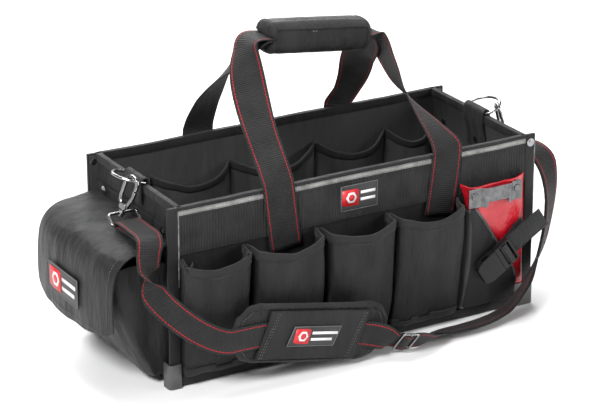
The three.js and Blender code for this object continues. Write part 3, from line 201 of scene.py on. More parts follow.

# %% [markdown]
# The walls are coarse nylon cloth: thick threads go over and under each other, so the surface is a
# grid of little cushions. Three sine waves, each along two directions at once, make that grid
# on a wall that faces any way. The faces that look inwards are painted a paler grey, a painted sheen
# of the lit inner walls. A slow noise under it lifts and drops the cloth a little, and greys it in places.

# %% Woven cloth
def woven(name, dark, light, threads, depth, rough=0.72, sheen=0.06, crumple=0.55, inner_sheen=None):
    made = Finish(name, dark, rough, Sheen_Weight=sheen, Sheen_Roughness=0.45)
    made.shader.inputs["Specular IOR Level"].default_value = 0.24
    split = made.node("ShaderNodeSeparateXYZ")
    made.join(made.place(), split.inputs[0])
    x, y, z = split.outputs
    threads_on = [
        made.sum("SINE", made.sum("MULTIPLY", made.sum("ADD", p, q), math.pi * threads))
        for p, q in ((x, y), (y, z), (z, x))]
    grid = made.sum("MULTIPLY", made.sum("MULTIPLY", threads_on[0], threads_on[1]), threads_on[2])
    pull = made.node("ShaderNodeMapping")
    pull.inputs["Scale"].default_value = (1, 1, 0.3)
    made.join(made.place(), pull.inputs["Vector"])
    folds = made.bump(made.speckle(34, 3.0, pull.outputs[0]), 0.009, crumple)
    slubs = made.bump(made.speckle(420, 2.0), 0.0005, 0.5, folds)
    made.bump(grid, depth, 0.8, slubs)
    shades = made.tint(made.speckle(30, 4.0, pull.outputs[0]), dark, light)
    # Faces that look inwards get a paler grey: a painted sheen on the inner walls.
    if inner_sheen:
        facing = made.node("ShaderNodeSeparateXYZ")
        made.join(made.place("Normal"), facing.inputs[0])
        inwards = [
            made.sum("LESS_THAN", made.sum("MULTIPLY", where, faced), -0.05)
            for where, faced in ((x, facing.outputs[0]), (y, facing.outputs[1]))]
        shades = made.over(made.sum("MAXIMUM", *inwards), shades, inner_sheen)
    made.colour(shades)
    return made.material


cloth = woven("cloth", (0.005, 0.005, 0.0054), (0.0155, 0.0155, 0.0165), 1100, 0.00025, 0.44, 0.03, 1.0)
# The paler grey on the panels' inward faces is painted sheen.
panel_cloth = woven(
    "panel_cloth", (0.006, 0.006, 0.0064), (0.0135, 0.0135, 0.0145), 1100, 0.00025, 0.52, 0.04,
    inner_sheen=(0.045, 0.045, 0.047))
lining = woven("lining", (0.03, 0.03, 0.031), (0.065, 0.065, 0.067), 1500, 0.0001, 0.4, 0.1)
edge_grey = woven("edge_grey", (0.03, 0.03, 0.031), (0.085, 0.085, 0.088), 1900, 0.00016, 0.5)
binding = woven("binding", (0.01, 0.01, 0.011), (0.017, 0.017, 0.018), 1900, 0.00016, 0.62)

# %% [markdown]
# Webbing is a flat woven band with fine ribs across it and a row of seam thread near each edge, dark
# red on the handles and the shoulder strap. The band's UV map is in metres, across and along, so ribs
# and stitches keep their size and bend with the strap.

# %% Webbing, with its edge stitching
THREAD = (0.34, 0.008, 0.014)


def webbing(name, width, inset=0.0042, seam=THREAD, dark=(0.009, 0.009, 0.0095),
            light=(0.016, 0.016, 0.0165), rib=0.003, depth=0.00035):
    made = Finish(name, dark, 0.6, Sheen_Weight=0.05, Sheen_Roughness=0.4)
    made.shader.inputs["Specular IOR Level"].default_value = 0.25
    split = made.node("ShaderNodeSeparateXYZ")
    made.join(made.place("UV"), split.inputs[0])
    across, along = split.outputs[0], split.outputs[1]
    side = made.sum("ABSOLUTE", across)
    ribs = made.sum("SINE", made.sum("MULTIPLY", along, 2 * math.pi / rib))
    cords = made.sum("SINE", made.sum("MULTIPLY", across, 2 * math.pi / 0.0016))
    height = made.sum("ADD", ribs, made.sum("MULTIPLY", cords, 0.55))
    row = made.sum("ABSOLUTE", made.sum("SUBTRACT", side, width / 2 - inset))
    on_row = made.sum("LESS_THAN", row, 0.00075)
    beat = made.sum("FRACT", made.sum("MULTIPLY", along, 1 / 0.0046))
    thread = made.sum("MULTIPLY", on_row, made.sum("LESS_THAN", beat, 0.8))
    lift = made.sum("ADD", height, made.sum("MULTIPLY", thread, 3.0))
    soft = made.bump(made.speckle(55, 2.0), 0.0018, 0.3)
    made.bump(lift, depth, 0.9, soft)
    body = made.tint(made.speckle(30, 4.0), dark, light)
    made.colour(made.over(thread, body, seam))
    return made.material


HANDLE_WIDTH = 0.050
STRAP_WIDTH = 0.038
HOLSTER_STRAP_WIDTH = 0.033
BAND_WIDTH = 0.057
handle_webbing = webbing("handle_webbing", HANDLE_WIDTH)
strap_webbing = webbing("strap_webbing", STRAP_WIDTH)
band_webbing = webbing(
    "band_webbing", BAND_WIDTH, inset=0.004, seam=(0.013, 0.013, 0.014),
    dark=(0.015, 0.015, 0.0155), light=(0.03, 0.03, 0.0315), rib=0.0044, depth=0.0009)
plain_webbing = webbing(
    "plain_webbing", HOLSTER_STRAP_WIDTH, inset=0.003, seam=(0.02, 0.02, 0.021),
    dark=(0.014, 0.014, 0.015), light=(0.03, 0.03, 0.032), rib=0.0036, depth=0.0008)

# %% [markdown]
# The light tape is a reflective ribbon: pale grey, smoother than cloth, with a fine diamond grid
# pressed into it. The holster pouch is coated cloth, so a thin clear coat lies over a deep red.

# %% Tape, coated red cloth, thread
tape = Finish("tape", (0.2, 0.2, 0.195), 0.42)
tape_place = tape.node("ShaderNodeMapping")
tape_place.inputs["Rotation"].default_value = (0, math.radians(45), 0)
tape.join(tape.place(), tape_place.inputs["Vector"])
tape_grid = tape.node("ShaderNodeTexChecker", Scale=900.0)
tape.join(tape_place.outputs[0], tape_grid.inputs["Vector"])
tape.bump(tape_grid.outputs["Fac"], 0.0001, 0.5)
tape.colour(tape.tint(tape.speckle(60, 3.0), (0.14, 0.14, 0.135), (0.27, 0.27, 0.26)))

vinyl = Finish("vinyl", (0.5, 0.007, 0.018), 0.36, Coat_Weight=0.3, Coat_Roughness=0.2)
vinyl_folds = vinyl.bump(vinyl.speckle(48, 3.0), 0.005, 0.7)
vinyl.bump(vinyl.speckle(900, 2.0), 0.0001, 0.4, vinyl_folds)
vinyl.colour(vinyl.tint(vinyl.speckle(20, 3.0), (0.36, 0.004, 0.012), (0.55, 0.008, 0.02)))

thread = Finish("dark_thread", (0.03, 0.03, 0.032), 0.5, Sheen_Weight=0.4)
thread.colour(thread.tint(thread.speckle(700, 2.0), (0.02, 0.02, 0.021), (0.05, 0.05, 0.053)))
thread.bump(thread.speckle(2500, 1.0), 0.0001, 0.5)
# The grip's thread is painted pale grey: a painted highlight along the top of the grip.
grip_highlight_thread = Finish("grip_highlight_thread", (0.16, 0.16, 0.16), 0.5, Sheen_Weight=0.4)
grip_highlight_thread.colour(grip_highlight_thread.tint(grip_highlight_thread.speckle(700, 2.0), (0.11, 0.11, 0.11), (0.2, 0.2, 0.2)))
grip_highlight_thread.bump(grip_highlight_thread.speckle(2500, 1.0), 0.0001, 0.5)

# %% [markdown]
# Hooks and rings are cast zinc with bright plating. Casting leaves a faint waviness, which breaks up
# the mirror, and handling leaves fine scuffs, which a noise on the roughness gives.

# %% Metal and moulded plastic
chrome = Finish("chrome", (0.3, 0.3, 0.305), 0.16, Metallic=1.0)
chrome.bump(chrome.speckle(160, 2.0), 0.0004, 0.2)
scuffs = chrome.node("ShaderNodeMapRange")
scuffs.inputs["To Min"].default_value = 0.1
scuffs.inputs["To Max"].default_value = 0.26
chrome.join(chrome.speckle(300, 4.0), scuffs.inputs["Value"])
chrome.join(scuffs.outputs["Result"], chrome.shader.inputs["Roughness"])

steel = Finish("steel", (0.13, 0.13, 0.135), 0.24, Metallic=1.0)
dents = steel.bump(steel.speckle(45, 1.0), 0.002, 0.25)
steel.bump(steel.speckle(900, 2.0), 0.0001, 0.4, dents)
steel.colour(steel.tint(steel.speckle(120, 3.0), (0.11, 0.11, 0.113), (0.17, 0.17, 0.174)))


def moulded(name, dark, light, rough, grain, depth, gloss=0.5):
    made = Finish(name, dark, rough)
    made.shader.inputs["Specular IOR Level"].default_value = gloss
    made.colour(made.tint(made.speckle(40, 4.0), dark, light))
    wave = made.bump(made.speckle(30, 2.0), 0.001, 0.2)
    made.bump(made.speckle(grain, 2.0), depth, 0.5, wave)
    return made.material


plastic = moulded("plastic", (0.006, 0.006, 0.0065), (0.011, 0.011, 0.0115), 0.36, 1600, 0.0001, 0.22)
cover_skin = moulded("cover_skin", (0.012, 0.012, 0.013), (0.019, 0.019, 0.02), 0.45, 900, 0.0002)
foot_rubber = moulded("foot_rubber", (0.05, 0.05, 0.051), (0.09, 0.09, 0.092), 0.5, 700, 0.0002)
emblem_red = moulded("emblem_red", (0.5, 0.012, 0.018), (0.58, 0.02, 0.026), 0.42, 1200, 0.0001)
rim_grey = moulded("rim_grey", (0.14, 0.14, 0.14), (0.22, 0.22, 0.22), 0.4, 1200, 0.0001)
emblem_white = moulded("emblem_white", (0.72, 0.72, 0.71), (0.82, 0.82, 0.81), 0.45, 1200, 0.0001)

# %% [markdown]
# A copy of a CAD node is the start of most pieces, so each keeps its place. The frame's meshes are
# loose triangles: merging their corners makes them a shell, and joining the triangle pairs gives the
# four-sided faces that bend and subdivide cleanly.

# %% Helpers for pieces
def copied(node, joined=True):
    form = bmesh.new()
    form.from_mesh(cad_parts[node].data)
    bmesh.ops.remove_doubles(form, verts=form.verts, dist=1e-5)
    if joined:
        bmesh.ops.join_triangles(
            form, faces=form.faces, angle_face_threshold=math.radians(20),
            angle_shape_threshold=math.radians(60))
    return form


def shown(name, form, finish, slot, *nodes, body="tote"):
    mesh = bpy.data.meshes.new(name)
    form.to_mesh(mesh)
    form.free()
    mesh.polygons.foreach_set("use_smooth", [True] * len(mesh.polygons))
    mesh.materials.append(finish)
    piece = bpy.data.objects.new(name, mesh)
    bpy.context.scene.collection.objects.link(piece)
    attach(piece, body)
    if nodes:
        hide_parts(*nodes)
    return piece


def settled(piece):
    made = bpy.data.meshes.new_from_object(
        piece.evaluated_get(bpy.context.evaluated_depsgraph_get()))
    piece.modifiers.clear()
    piece.data = made
    made.polygons.foreach_set("use_smooth", [True] * len(made.polygons))
    return piece


def sharp(form, degrees):
    return [e for e in form.edges if e.is_manifold and e.calc_face_angle(0) > math.radians(degrees)]


def whole_faces(node):
    form = copied(node, joined=False)
    bmesh.ops.dissolve_limit(
        form, angle_limit=math.radians(1), verts=form.verts, edges=form.edges)
    return form


def bevelled(node, offset):
    form = whole_faces(node)
    bmesh.ops.bevel(
        form, geom=sharp(form, 50), offset=offset, segments=3, profile=0.5, affect="EDGES",
        material=-1, clamp_overlap=True)
    return form


# %% [markdown]
# Sewn cloth is never dead flat. One slow, shared drift moves every cloth piece by a millimetre or
# so: neighbours drift together, so seams stay closed, and it fades out at the floor and near the
# metal at the ends, so nothing floats or sinks.

# %% The drift of the cloth
HALF_LENGTH = 0.300
HALF_WIDTH = 0.125
RING_HEIGHT = 0.2
BOARD_TOP = 0.004
FADE = 0.03
DRIFT = 0.0016


def drift(p):
    at_rings = 1.0
    if p.z > RING_HEIGHT and abs(p.y) < HALF_WIDTH:
        at_rings = max(0.0, min(1.0, (HALF_LENGTH - abs(p.x)) / FADE))
    off_floor = max(0.0, min(1.0, (p.z - BOARD_TOP) / FADE))
    waves = noise.noise_vector(p * 8.0) * DRIFT
    ripples = noise.noise_vector(p * 23.0 + Vector((3, 7, 1))) * DRIFT * 0.3
    return (waves + ripples) * (at_rings * off_floor)


def drifted(form):
    for vert in form.verts:
        vert.co += drift(vert.co)


def sliced(form, step, axes="xyz"):
    for axis, letter in enumerate("xyz"):
        if letter not in axes:
            continue
        low = min(v.co[axis] for v in form.verts)
        high = max(v.co[axis] for v in form.verts)
        normal = Vector((0, 0, 0))
        normal[axis] = 1
        for k in range(1, int((high - low) / step) + 1):
            point = normal * (low + k * step)
            bmesh.ops.bisect_plane(
                form, geom=form.verts[:] + form.edges[:] + form.faces[:], dist=1e-6,
                plane_co=point, plane_no=normal)


# %% [markdown]
# ## The box
# Wall panels, bindings and strips are cut cloth with turned edges. Each is the CAD slab with its
# sharp edges rolled over by a small bevel, then cut into strips so that it can take the drift.

# %% Panels and bindings
def cut_cloth(node, finish, slot, roll, step):
    form = whole_faces(node)
    bmesh.ops.bevel(
        form, geom=sharp(form, 55), offset=roll, segments=2, profile=0.5, affect="EDGES",
        material=-1, clamp_overlap=True)
    bmesh.ops.triangulate(form, faces=[f for f in form.faces if len(f.verts) > 4])
    sliced(form, step)
    drifted(form)
    return shown(node + "_cloth", form, finish, slot, node)


for node in ("front_panel", "back_panel", "left_end_panel", "right_end_panel"):
    cut_cloth(node, panel_cloth, "cloth", 0.0008, 0.02)
cut_cloth("base_board", lining, "cloth", 0.0012, 0.04)
for node in (
    "front_rim_binding", "back_rim_binding", "left_rim_binding", "right_rim_binding", "base_hem",
    "front_left_corner_strip", "front_right_corner_strip", "back_left_corner_strip",
    "back_right_corner_strip",
):
    cut_cloth(node, binding, "binding", 0.0006, 0.02)
cut_cloth("front_tape", tape.material, "tape", 0.0003, 0.02)
band = cut_cloth("front_band", band_webbing, "webbing", 0.0005, 0.02)
band_low, band_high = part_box("front_band")
band_middle = (band_low[2] + band_high[2]) / 2
band_map = band.data.uv_layers.new(name="UVMap")
for loop in band.data.loops:
    place = band.data.vertices[loop.vertex_index].co
    band_map.data[loop.index].uv = (place.z - band_middle, place.x)

# %% [markdown]
# ## The pockets
# A pocket is one layer of cloth that bellies out between its side seams. The CAD sheet has that form
# in a few facets. A subdivision surface rounds it, and a crease along the turned edges keeps them
# thin. Pulls and puckers come after it, stretched upwards, and move both faces of the cloth together.

# %% Rounded cloth sheets
def soft_sheet(node, finish, slot, pucker=0.0028, levels=3, crease=0.75):
    form = copied(node)
    creases = form.edges.layers.float.new("crease_edge")
    for edge in sharp(form, 50):
        edge[creases] = crease
    piece = shown(node + "_cloth", form, finish, slot, node)
    rounding = piece.modifiers.new("rounding", "SUBSURF")
    rounding.levels = rounding.render_levels = levels
    settled(piece)
    form = bmesh.new()
    form.from_mesh(piece.data)
    moves = [
        drift(v.co) + pucker * noise.noise_vector(Vector((v.co.x * 40, v.co.y * 40, v.co.z * 11)))
        for v in form.verts]
    for vert, move in zip(form.verts, moves):
        vert.co += move
    form.to_mesh(piece.data)
    form.free()
    return piece


pockets = [soft_sheet(f"front_pocket_{k}", cloth, "cloth") for k in (1, 2, 3, 4)]
soft_sheet("side_pocket", cloth, "cloth", pucker=0.003)
flap = soft_sheet("side_flap", cloth, "cloth", pucker=0.0014)
holster_panel = soft_sheet("holster_panel", panel_cloth, "cloth", pucker=0.0014)
inner = soft_sheet("inner_pockets", lining, "cloth", pucker=0.0018)
soft_sheet("holster_pouch", vinyl.material, "vinyl", pucker=0.0034)

# %% [markdown]
# The mouth of each pocket is finished with a folded tape. It is made from the pocket itself: the
# faces near the top edge are kept, lifted off the cloth and thickened, so the tape wraps the edge on
# both sides and follows every curve.

# %% Edge tapes
def edging(name, source, keep, finish, slot, lift=0.0004, thick=0.0007):
    form = bmesh.new()
    form.from_mesh(source.data)
    bmesh.ops.delete(
        form, geom=[f for f in form.faces if not keep(f.calc_center_median())], context="FACES")
    form.normal_update()
    for vert, normal in [(v, v.normal.copy()) for v in form.verts]:
        vert.co += normal * lift
    bmesh.ops.solidify(form, geom=form.faces[:], thickness=-thick)
    bmesh.ops.recalc_face_normals(form, faces=form.faces[:])
    return shown(name, form, finish, slot)


def near_rim(piece, reach, on_rim):
    rim = [face.center for face in piece.data.polygons if on_rim(face.normal)]
    tree = KDTree(len(rim))
    for k, place in enumerate(rim):
        tree.insert(place, k)
    tree.balance()
    return lambda p: tree.find(p)[2] < reach


def looks_up(normal):
    return normal.z > 0.6


for k, pocket in enumerate(pockets, 1):
    edging(f"front_pocket_{k}_tape", pocket, near_rim(pocket, 0.011, looks_up), binding, "binding")
edging("inner_pocket_tape", inner, near_rim(inner, 0.009, looks_up), binding, "binding")
diagonal = near_rim(holster_panel, 0.0032, lambda normal: normal.x > 0.4 and normal.z > 0.25)
edging("holster_panel_tape", holster_panel, diagonal, edge_grey, "binding", 0.0003, 0.0006)

# %% [markdown]
# ## Webbing straps and handles
# A strap is modelled as a run of cross-sections. The CAD band gives a ring of four corners at each
# station, so walking outwards from one end finds the stations in order. A finer rounded section is
# then drawn along them with extrude, and each corner knows how far across and along it lies, which
# becomes the UV map of the weave.

# %% Straps from their stations
def end_corners(form, width, thick):
    for face in form.faces:
        spans = sorted(face.edges, key=lambda e: e.calc_length())
        short, wide = spans[0].calc_length(), spans[1].calc_length()
        if abs(short - thick) < 0.3 * thick and abs(wide - width) < 0.05 * width:
            other = next(f for f in spans[2].link_faces if f is not face)
            return list(set(face.verts) | set(other.verts))
    raise ValueError("this band has no square end")


def stations(node, width, thick):
    form = copied(node, joined=False)
    first = end_corners(form, width, thick)
    seen = set(first)
    edge_of = first
    rings = [[v.co.copy() for v in first]]
    while edge_of:
        step = []
        for vert in edge_of:
            for edge in vert.link_edges:
                other = edge.other_vert(vert)
                if other not in seen:
                    seen.add(other)
                    step.append(other)
        edge_of = step
        if step:
            rings.append([v.co.copy() for v in step])
    odd = [len(ring) for ring in rings if len(ring) != 4]
    form.free()
    run = []
    side = None
    for ring in rings:
        if len(ring) != 4:
            continue
        a = ring[0]
        partner = min(ring[1:], key=lambda q: (q - a).length)
        rest = [q for q in ring[1:] if q is not partner]
        one, two = (a + partner) / 2, (rest[0] + rest[1]) / 2
        across = one - two
        if side is not None and across.dot(side) < 0:
            across = -across
        side = across
        run.append(((one + two) / 2, across))
    print(node, "stations", len(run), "odd rings", odd[:4])
    return run, not odd


def between(points, t):
    k = min(int(t), len(points) - 2)
    f = t - k
    p0, p1, p2, p3 = (points[max(0, min(len(points) - 1, k + d))] for d in (-1, 0, 1, 2))
    return 0.5 * (2 * p1 + (p2 - p0) * f + (2 * p0 - 5 * p1 + 4 * p2 - p3) * f * f
                  + (3 * p1 - p0 - 3 * p2 + p3) * f ** 3)


def strap(node, width, thick, finish, ease=1, bare=None, fine=3):
    run, clean = stations(node, width, thick)
    if not clean:
        return cut_cloth(node, binding, "webbing", 0.0004, 0.012)
    middles, sides = [m for m, _ in run], [s for _, s in run]
    section = [(-1, 0.0), (-0.985, 0.7), (-0.94, 1.0), (-0.6, 0.94), (-0.2, 0.92), (0.2, 0.92),
               (0.6, 0.94), (0.94, 1.0), (0.985, 0.7), (1, 0.0)]
    loop = section + [(w, -t) for w, t in reversed(section[1:-1])]
    form = bmesh.new()
    far, tall = form.verts.layers.float.new("far"), form.verts.layers.float.new("tall")
    count = (len(run) - 1) * fine
    line = [between(middles, i / fine) for i in range(count + 1)]
    for _ in range(ease):
        line = [line[0]] + [
            (line[i - 1] + 2 * line[i] + line[i + 1]) / 4 for i in range(1, count)] + [line[-1]]
    ring, gone, last = None, 0.0, None
    for i in range(count + 1):
        middle = line[i]
        ahead = line[min(i + 1, count)] - line[max(i - 1, 0)]
        side = between(sides, i / fine)
        stand = ahead.cross(side).normalized()
        gone += (middle - last).length if last is not None else 0.0
        last = middle
        half = side.length / 2
        places = [middle + side * (w / 2) + stand * (h * thick / 2) for w, h in loop]
        if ring is None:
            ring = [form.verts.new(p) for p in places]
            edges = [form.edges.new((ring[k], ring[(k + 1) % len(ring)])) for k in range(len(ring))]
            form.faces.new(list(reversed(ring)))
        else:
            grown = bmesh.ops.extrude_edge_only(form, edges=edges)["geom"]
            fresh = [g for g in grown if isinstance(g, bmesh.types.BMVert)]
            ring = [
                next(e.other_vert(old) for e in old.link_edges if e.other_vert(old) in fresh)
                for old in ring]
            edges = [form.edges.get((ring[k], ring[(k + 1) % len(ring)])) for k in range(len(ring))]
            for vert, place in zip(ring, places):
                vert.co = place
        for vert, (w, _) in zip(ring, loop):
            vert[far] = w * half + (1.0 if bare and bare(middle) else 0.0)
            vert[tall] = gone
    form.faces.new(ring)
    bmesh.ops.recalc_face_normals(form, faces=form.faces[:])
    cloth_map = form.loops.layers.uv.new("UVMap")
    for face in form.faces:
        for corner in face.loops:
            corner[cloth_map].uv = (corner.vert[far], corner.vert[tall])
    print(node, "length", round(gone, 3))
    return shown(node + "_band", form, finish, "webbing", node)


for node, width, thick, finish, ease in (
    ("front_handle", HANDLE_WIDTH, 0.0022, handle_webbing, 12),
    ("strap_left", STRAP_WIDTH, 0.002, strap_webbing, 1),
    ("strap_right", STRAP_WIDTH, 0.002, strap_webbing, 1),
    ("holster_strap", HOLSTER_STRAP_WIDTH, 0.0018, plain_webbing, 1),
):
    strap(node, width, thick, finish, ease=ease)
strap("back_handle", HANDLE_WIDTH, 0.0022, handle_webbing, ease=12, bare=lambda p: p.x < -0.03)
for node in ("left_tab", "right_tab"):
    cut_cloth(node, binding, "webbing", 0.0004, 0.012)

# %% [markdown]
# ## Padded pieces
# The grip and the shoulder pad are foam in a sewn cover. Blown up a little by the cloth solver, a
# slightly smaller copy swells between its seams as foam does. The swelling is capped, so nothing
# reaches the webbing that runs through the grip and over the pad.

# %% Swelling by cloth simulation
SWELLING_STEPS = 20


def swollen(node, finish, cell, shrink, cap, limit=None):
    form = copied(node, joined=False)
    form.normal_update()
    for vert, normal in [(v, v.normal.copy()) for v in form.verts]:
        vert.co -= normal * shrink
    piece = shown(node + "_padded", form, finish, "cloth", node)
    cells = piece.modifiers.new("cells", "REMESH")
    cells.mode = "VOXEL"
    cells.voxel_size = cell
    settled(piece)
    before = [v.co.copy() for v in piece.data.vertices]
    solver = piece.modifiers.new("swelling", "CLOTH")
    solver.settings.quality = 4
    solver.settings.mass = 0.3
    solver.settings.tension_stiffness = 12
    solver.settings.compression_stiffness = 12
    solver.settings.shear_stiffness = 6
    solver.settings.bending_stiffness = 1.5
    solver.settings.use_pressure = True
    solver.settings.uniform_pressure_force = 4
    solver.settings.effector_weights.gravity = 0
    for frame_number in range(1, SWELLING_STEPS + 1):
        bpy.context.scene.frame_set(frame_number)
    settled(piece)
    bpy.context.scene.frame_set(1)
    for vert, rest in zip(piece.data.vertices, before):
        move = vert.co - rest
        if move.length > cap:
            move *= cap / move.length
        vert.co = rest + move
        if limit:
            vert.co = limit(vert.co)
    rounding = piece.modifiers.new("rounding", "SUBSURF")
    rounding.levels = rounding.render_levels = 1
    settled(piece)
    print(node, "padded with", len(piece.data.vertices), "points")
    return piece


pad_slope = math.radians(11.5)
pad_middle = Vector((-0.1095, -0.185, 0.0649))
pad_along = Vector((math.cos(pad_slope), 0, -math.sin(pad_slope)))
pad_up = Vector((math.sin(pad_slope), 0, math.cos(pad_slope)))


def on_pad(p):
    away = p - pad_middle
    return away.dot(pad_along), away.dot(pad_up), -away.y


def behind_strap(p):
    along, up, out = on_pad(p)
    ease = max(0.0, min(1.0, (abs(up) - 0.021) / 0.012))
    most = -0.0018 if abs(along) < 0.088 and abs(up) < 0.037 else -0.0018 + 0.003 * ease
    return p + Vector((0, max(0.0, out - most), 0))


pad = swollen("shoulder_pad", cloth, 0.0028, 0.0008, 0.003, behind_strap)
grip = swollen("grip", cloth, 0.0035, 0.0012, 0.0035)

# %% [markdown]
# A bound edge runs round the pad, and two runs along the grip: its ends, and the long seam where
# the cover closes. The distance from the outline picks the faces for the pad's binding.

# %% Bindings of the pad and the grip
flat_pad = [Vector(on_pad(v.co)[:2]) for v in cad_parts["shoulder_pad"].data.vertices]
pad_edge = [flat_pad[k] for k in convex_hull_2d(flat_pad)]


def from_pad_edge(p):
    spot = Vector(on_pad(p)[:2])
    nearest = 9.0
    for a, b in zip(pad_edge, pad_edge[1:] + pad_edge[:1]):
        foot, share = intersect_point_line(spot, a, b)
        foot = a.lerp(b, max(0.0, min(1.0, share)))
        nearest = min(nearest, (spot - foot.xy).length)
    return nearest


edging("pad_binding", pad, lambda p: from_pad_edge(p) < 0.0085, binding, "binding", 0.0003, 0.0006)
grip_middle = Vector((0, 0, 0.431))
grip_slope = math.radians(7)
grip_axis = Vector((math.cos(grip_slope), 0, -math.sin(grip_slope)))
grip_up = Vector((math.sin(grip_slope), 0, math.cos(grip_slope)))


def on_grip(p):
    away = p - grip_middle
    return away.dot(grip_axis), away.y, away.dot(grip_up)


def on_grip_end(p):
    return abs(on_grip(p)[0]) > 0.0745


def on_grip_seam(p):
    along, out, up = on_grip(p)
    return -0.024 < out < -0.010 and up > 0.012 and abs(along) < 0.074


edging("grip_end_binding", grip, on_grip_end, binding, "binding", 0.0003, 0.0006)
edging("grip_seam_binding", grip, on_grip_seam, binding, "binding", 0.0004, 0.0007)

# %% [markdown]
# ## Stitching
# Seam thread lies on the cloth as short beads. A row of them is traced on the surface by rays, then
# one small bead shape is repeated along it.

# %% Rows of stitches
def surface(*pieces):
    joined = bmesh.new()
    for piece in pieces:
        joined.from_mesh(piece.data)
    tree = BVHTree.FromBMesh(joined)
    joined.free()
    return tree


def traced(tree, starts, way):
    hits = [tree.ray_cast(Vector(s), Vector(way)) for s in starts]
    return [(h[0], h[1]) for h in hits if h[0] is not None and abs(h[1].dot(Vector(way))) > 0.5]


def stitches(name, rows, finish, slot="webbing", pitch=0.0044, length=0.0031, size=0.0006):
    form = bmesh.new()
    count = 0
    for row in rows:
        gone, k = 0.0, 0
        spots = []
        for (a, na), (b, nb) in zip(row, row[1:]):
            span = (b - a).length
            if span < 1e-6 or span > 0.03:
                continue
            while gone <= span:
                t = gone / span
                spots.append((a.lerp(b, t), na.lerp(nb, t).normalized(), (b - a) / span))
                gone += pitch
            gone -= span
        for place, normal, along in spots:
            up = (normal - along * normal.dot(along)).normalized()
            turn = Matrix((along, up.cross(along), up)).transposed().to_4x4()
            turn.translation = place + up * (size * 0.35)
            shape = turn @ Matrix.Diagonal((length / 2, size, size * 0.8, 1))
            bmesh.ops.create_icosphere(form, subdivisions=1, radius=1, matrix=shape)
            count += 1
    print(name, count, "stitches")
    return shown(name, form, finish, slot)


def spread(low, high, step=0.004):
    count = max(1, int(abs(high - low) / step))
    return [low + (high - low) * k / count for k in range(count + 1)]


def face_frame(node, right_hint):
    form = whole_faces(node)
    form.normal_update()
    outer = [f for f in form.faces if f.normal.dot(Vector((-0.6, -1, 0))) > 0.3]
    face = max(outer, key=lambda f: f.calc_area())
    normal = face.normal.copy()
    longest = max(face.edges, key=lambda e: e.calc_length())
    right = (longest.verts[1].co - longest.verts[0].co).normalized()
    if right.dot(Vector(right_hint)) < 0:
        right = -right
    up = normal.cross(right)
    middle = face.calc_center_median()
    corners = [((v.co - middle).dot(right), (v.co - middle).dot(up)) for v in face.verts]
    form.free()
    turn = Matrix((right, up, normal)).transposed().to_4x4()
    turn.translation = middle
    return turn, max(c[0] for c in corners), max(c[1] for c in corners)


def top_line(piece, step=0.006):
    rows = {}
    for vert in piece.data.vertices:
        key = round(vert.co.x / step)
        rows[key] = max(rows.get(key, 0.0), vert.co.z)

    def height(x):
        key = round(x / step)
        return max(rows[k] for k in (key - 1, key, key + 1) if k in rows)

    return height


BELOW_MOUTH = 0.0125
pocket_rows = []
for pocket in pockets:
    tree, line = surface(pocket), top_line(pocket)
    xs = [v.co.x for v in pocket.data.vertices]
    run = spread(min(xs) + 0.004, max(xs) - 0.004)
    pocket_rows.append(traced(tree, [(x, -0.4, line(x) - BELOW_MOUTH) for x in run], (0, 1, 0)))
stitches("pocket_stitches", pocket_rows, thread.material, "cloth")

tape_low, tape_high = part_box("front_tape")
tape_rows = [[
    (Vector((x, tape_low[1], z)) + drift(Vector((x, tape_low[1], z))), Vector((0, -1, 0)))
    for x in spread(tape_low[0] + 0.004, tape_high[0] - 0.004, 0.01)]
    for z in (tape_low[2] + 0.0014, tape_high[2] - 0.0012)]
stitches("tape_stitches", tape_rows, thread.material, "tape", size=0.0005)

flap_tree = surface(flap)
flap_rows = []
for y in (-0.107, 0.107):
    over = traced(flap_tree, [(x, y, 0.4) for x in spread(-0.306, -0.352)], (0, 0, -1))
    down = traced(flap_tree, [(-0.6, y, z) for z in spread(0.205, 0.096)], (1, 0, 0))
    flap_rows += [over, down]
flap_rows.append(traced(flap_tree, [(-0.6, y, 0.092) for y in spread(-0.103, 0.103)], (1, 0, 0)))
stitches("flap_stitches", flap_rows, thread.material, "cloth")

pad_tree = surface(pad)
pad_ring = []
for a, b in zip(pad_edge, pad_edge[1:] + pad_edge[:1]):
    for share in (0, 0.25, 0.5, 0.75):
        spot = a.lerp(b, share) * 0.9
        place = pad_middle + pad_along * spot.x + pad_up * spot.y
        pad_ring.append((place.x, -0.4, place.z))
pad_ring.append(pad_ring[0])
stitches("pad_stitches", [traced(pad_tree, pad_ring, (0, 1, 0))], thread.material, "cloth")

cover_turn, cover_long, cover_tall = face_frame("pad_cover", (1, 0, -0.2))
cover_lean = 0.3
cover_rows = []
for side in (-1, 1):
    for inset in (0.004, 0.0075):
        cover_rows.append([
            (cover_turn @ Vector((
                side * (cover_long - cover_tall * cover_lean - inset) + y * cover_lean, y, 0)),
             cover_turn.col[2].xyz)
            for y in spread(-cover_tall + 0.003, cover_tall - 0.003)])
stitches("cover_stitches", cover_rows, thread.material, "cloth")

grip_tree = surface(grip)
grip_rows = []
for out in (-0.0255, -0.0085):
    starts = [
        grip_middle + grip_axis * s + grip_up * 0.1 + Vector((0, out, 0))
        for s in spread(-0.072, 0.072)]
    grip_rows.append(traced(grip_tree, starts, -grip_up))
# The grip's stitch beads are real; their pale grey is a painted highlight along the grip's top.
stitches("grip_stitches", grip_rows, grip_highlight_thread.material, "cloth")

# %% [markdown]
# A thin reflective cord is sewn into the two front corners, where it catches the light as a pale
# line. A cone with equal ends is the plainest start for a straight cord.

# %% Light cords of the front corners
def corner_cord(name, x, y, low, high, radius):
    form = bmesh.new()
    bmesh.ops.create_cone(
        form, cap_ends=True, segments=10, radius1=radius, radius2=radius, depth=high - low,
        matrix=Matrix.Translation((x, y, (low + high) / 2)))
    sliced(form, 0.012, "z")
    drifted(form)
    return shown(name, form, cord_grey.material, "binding")


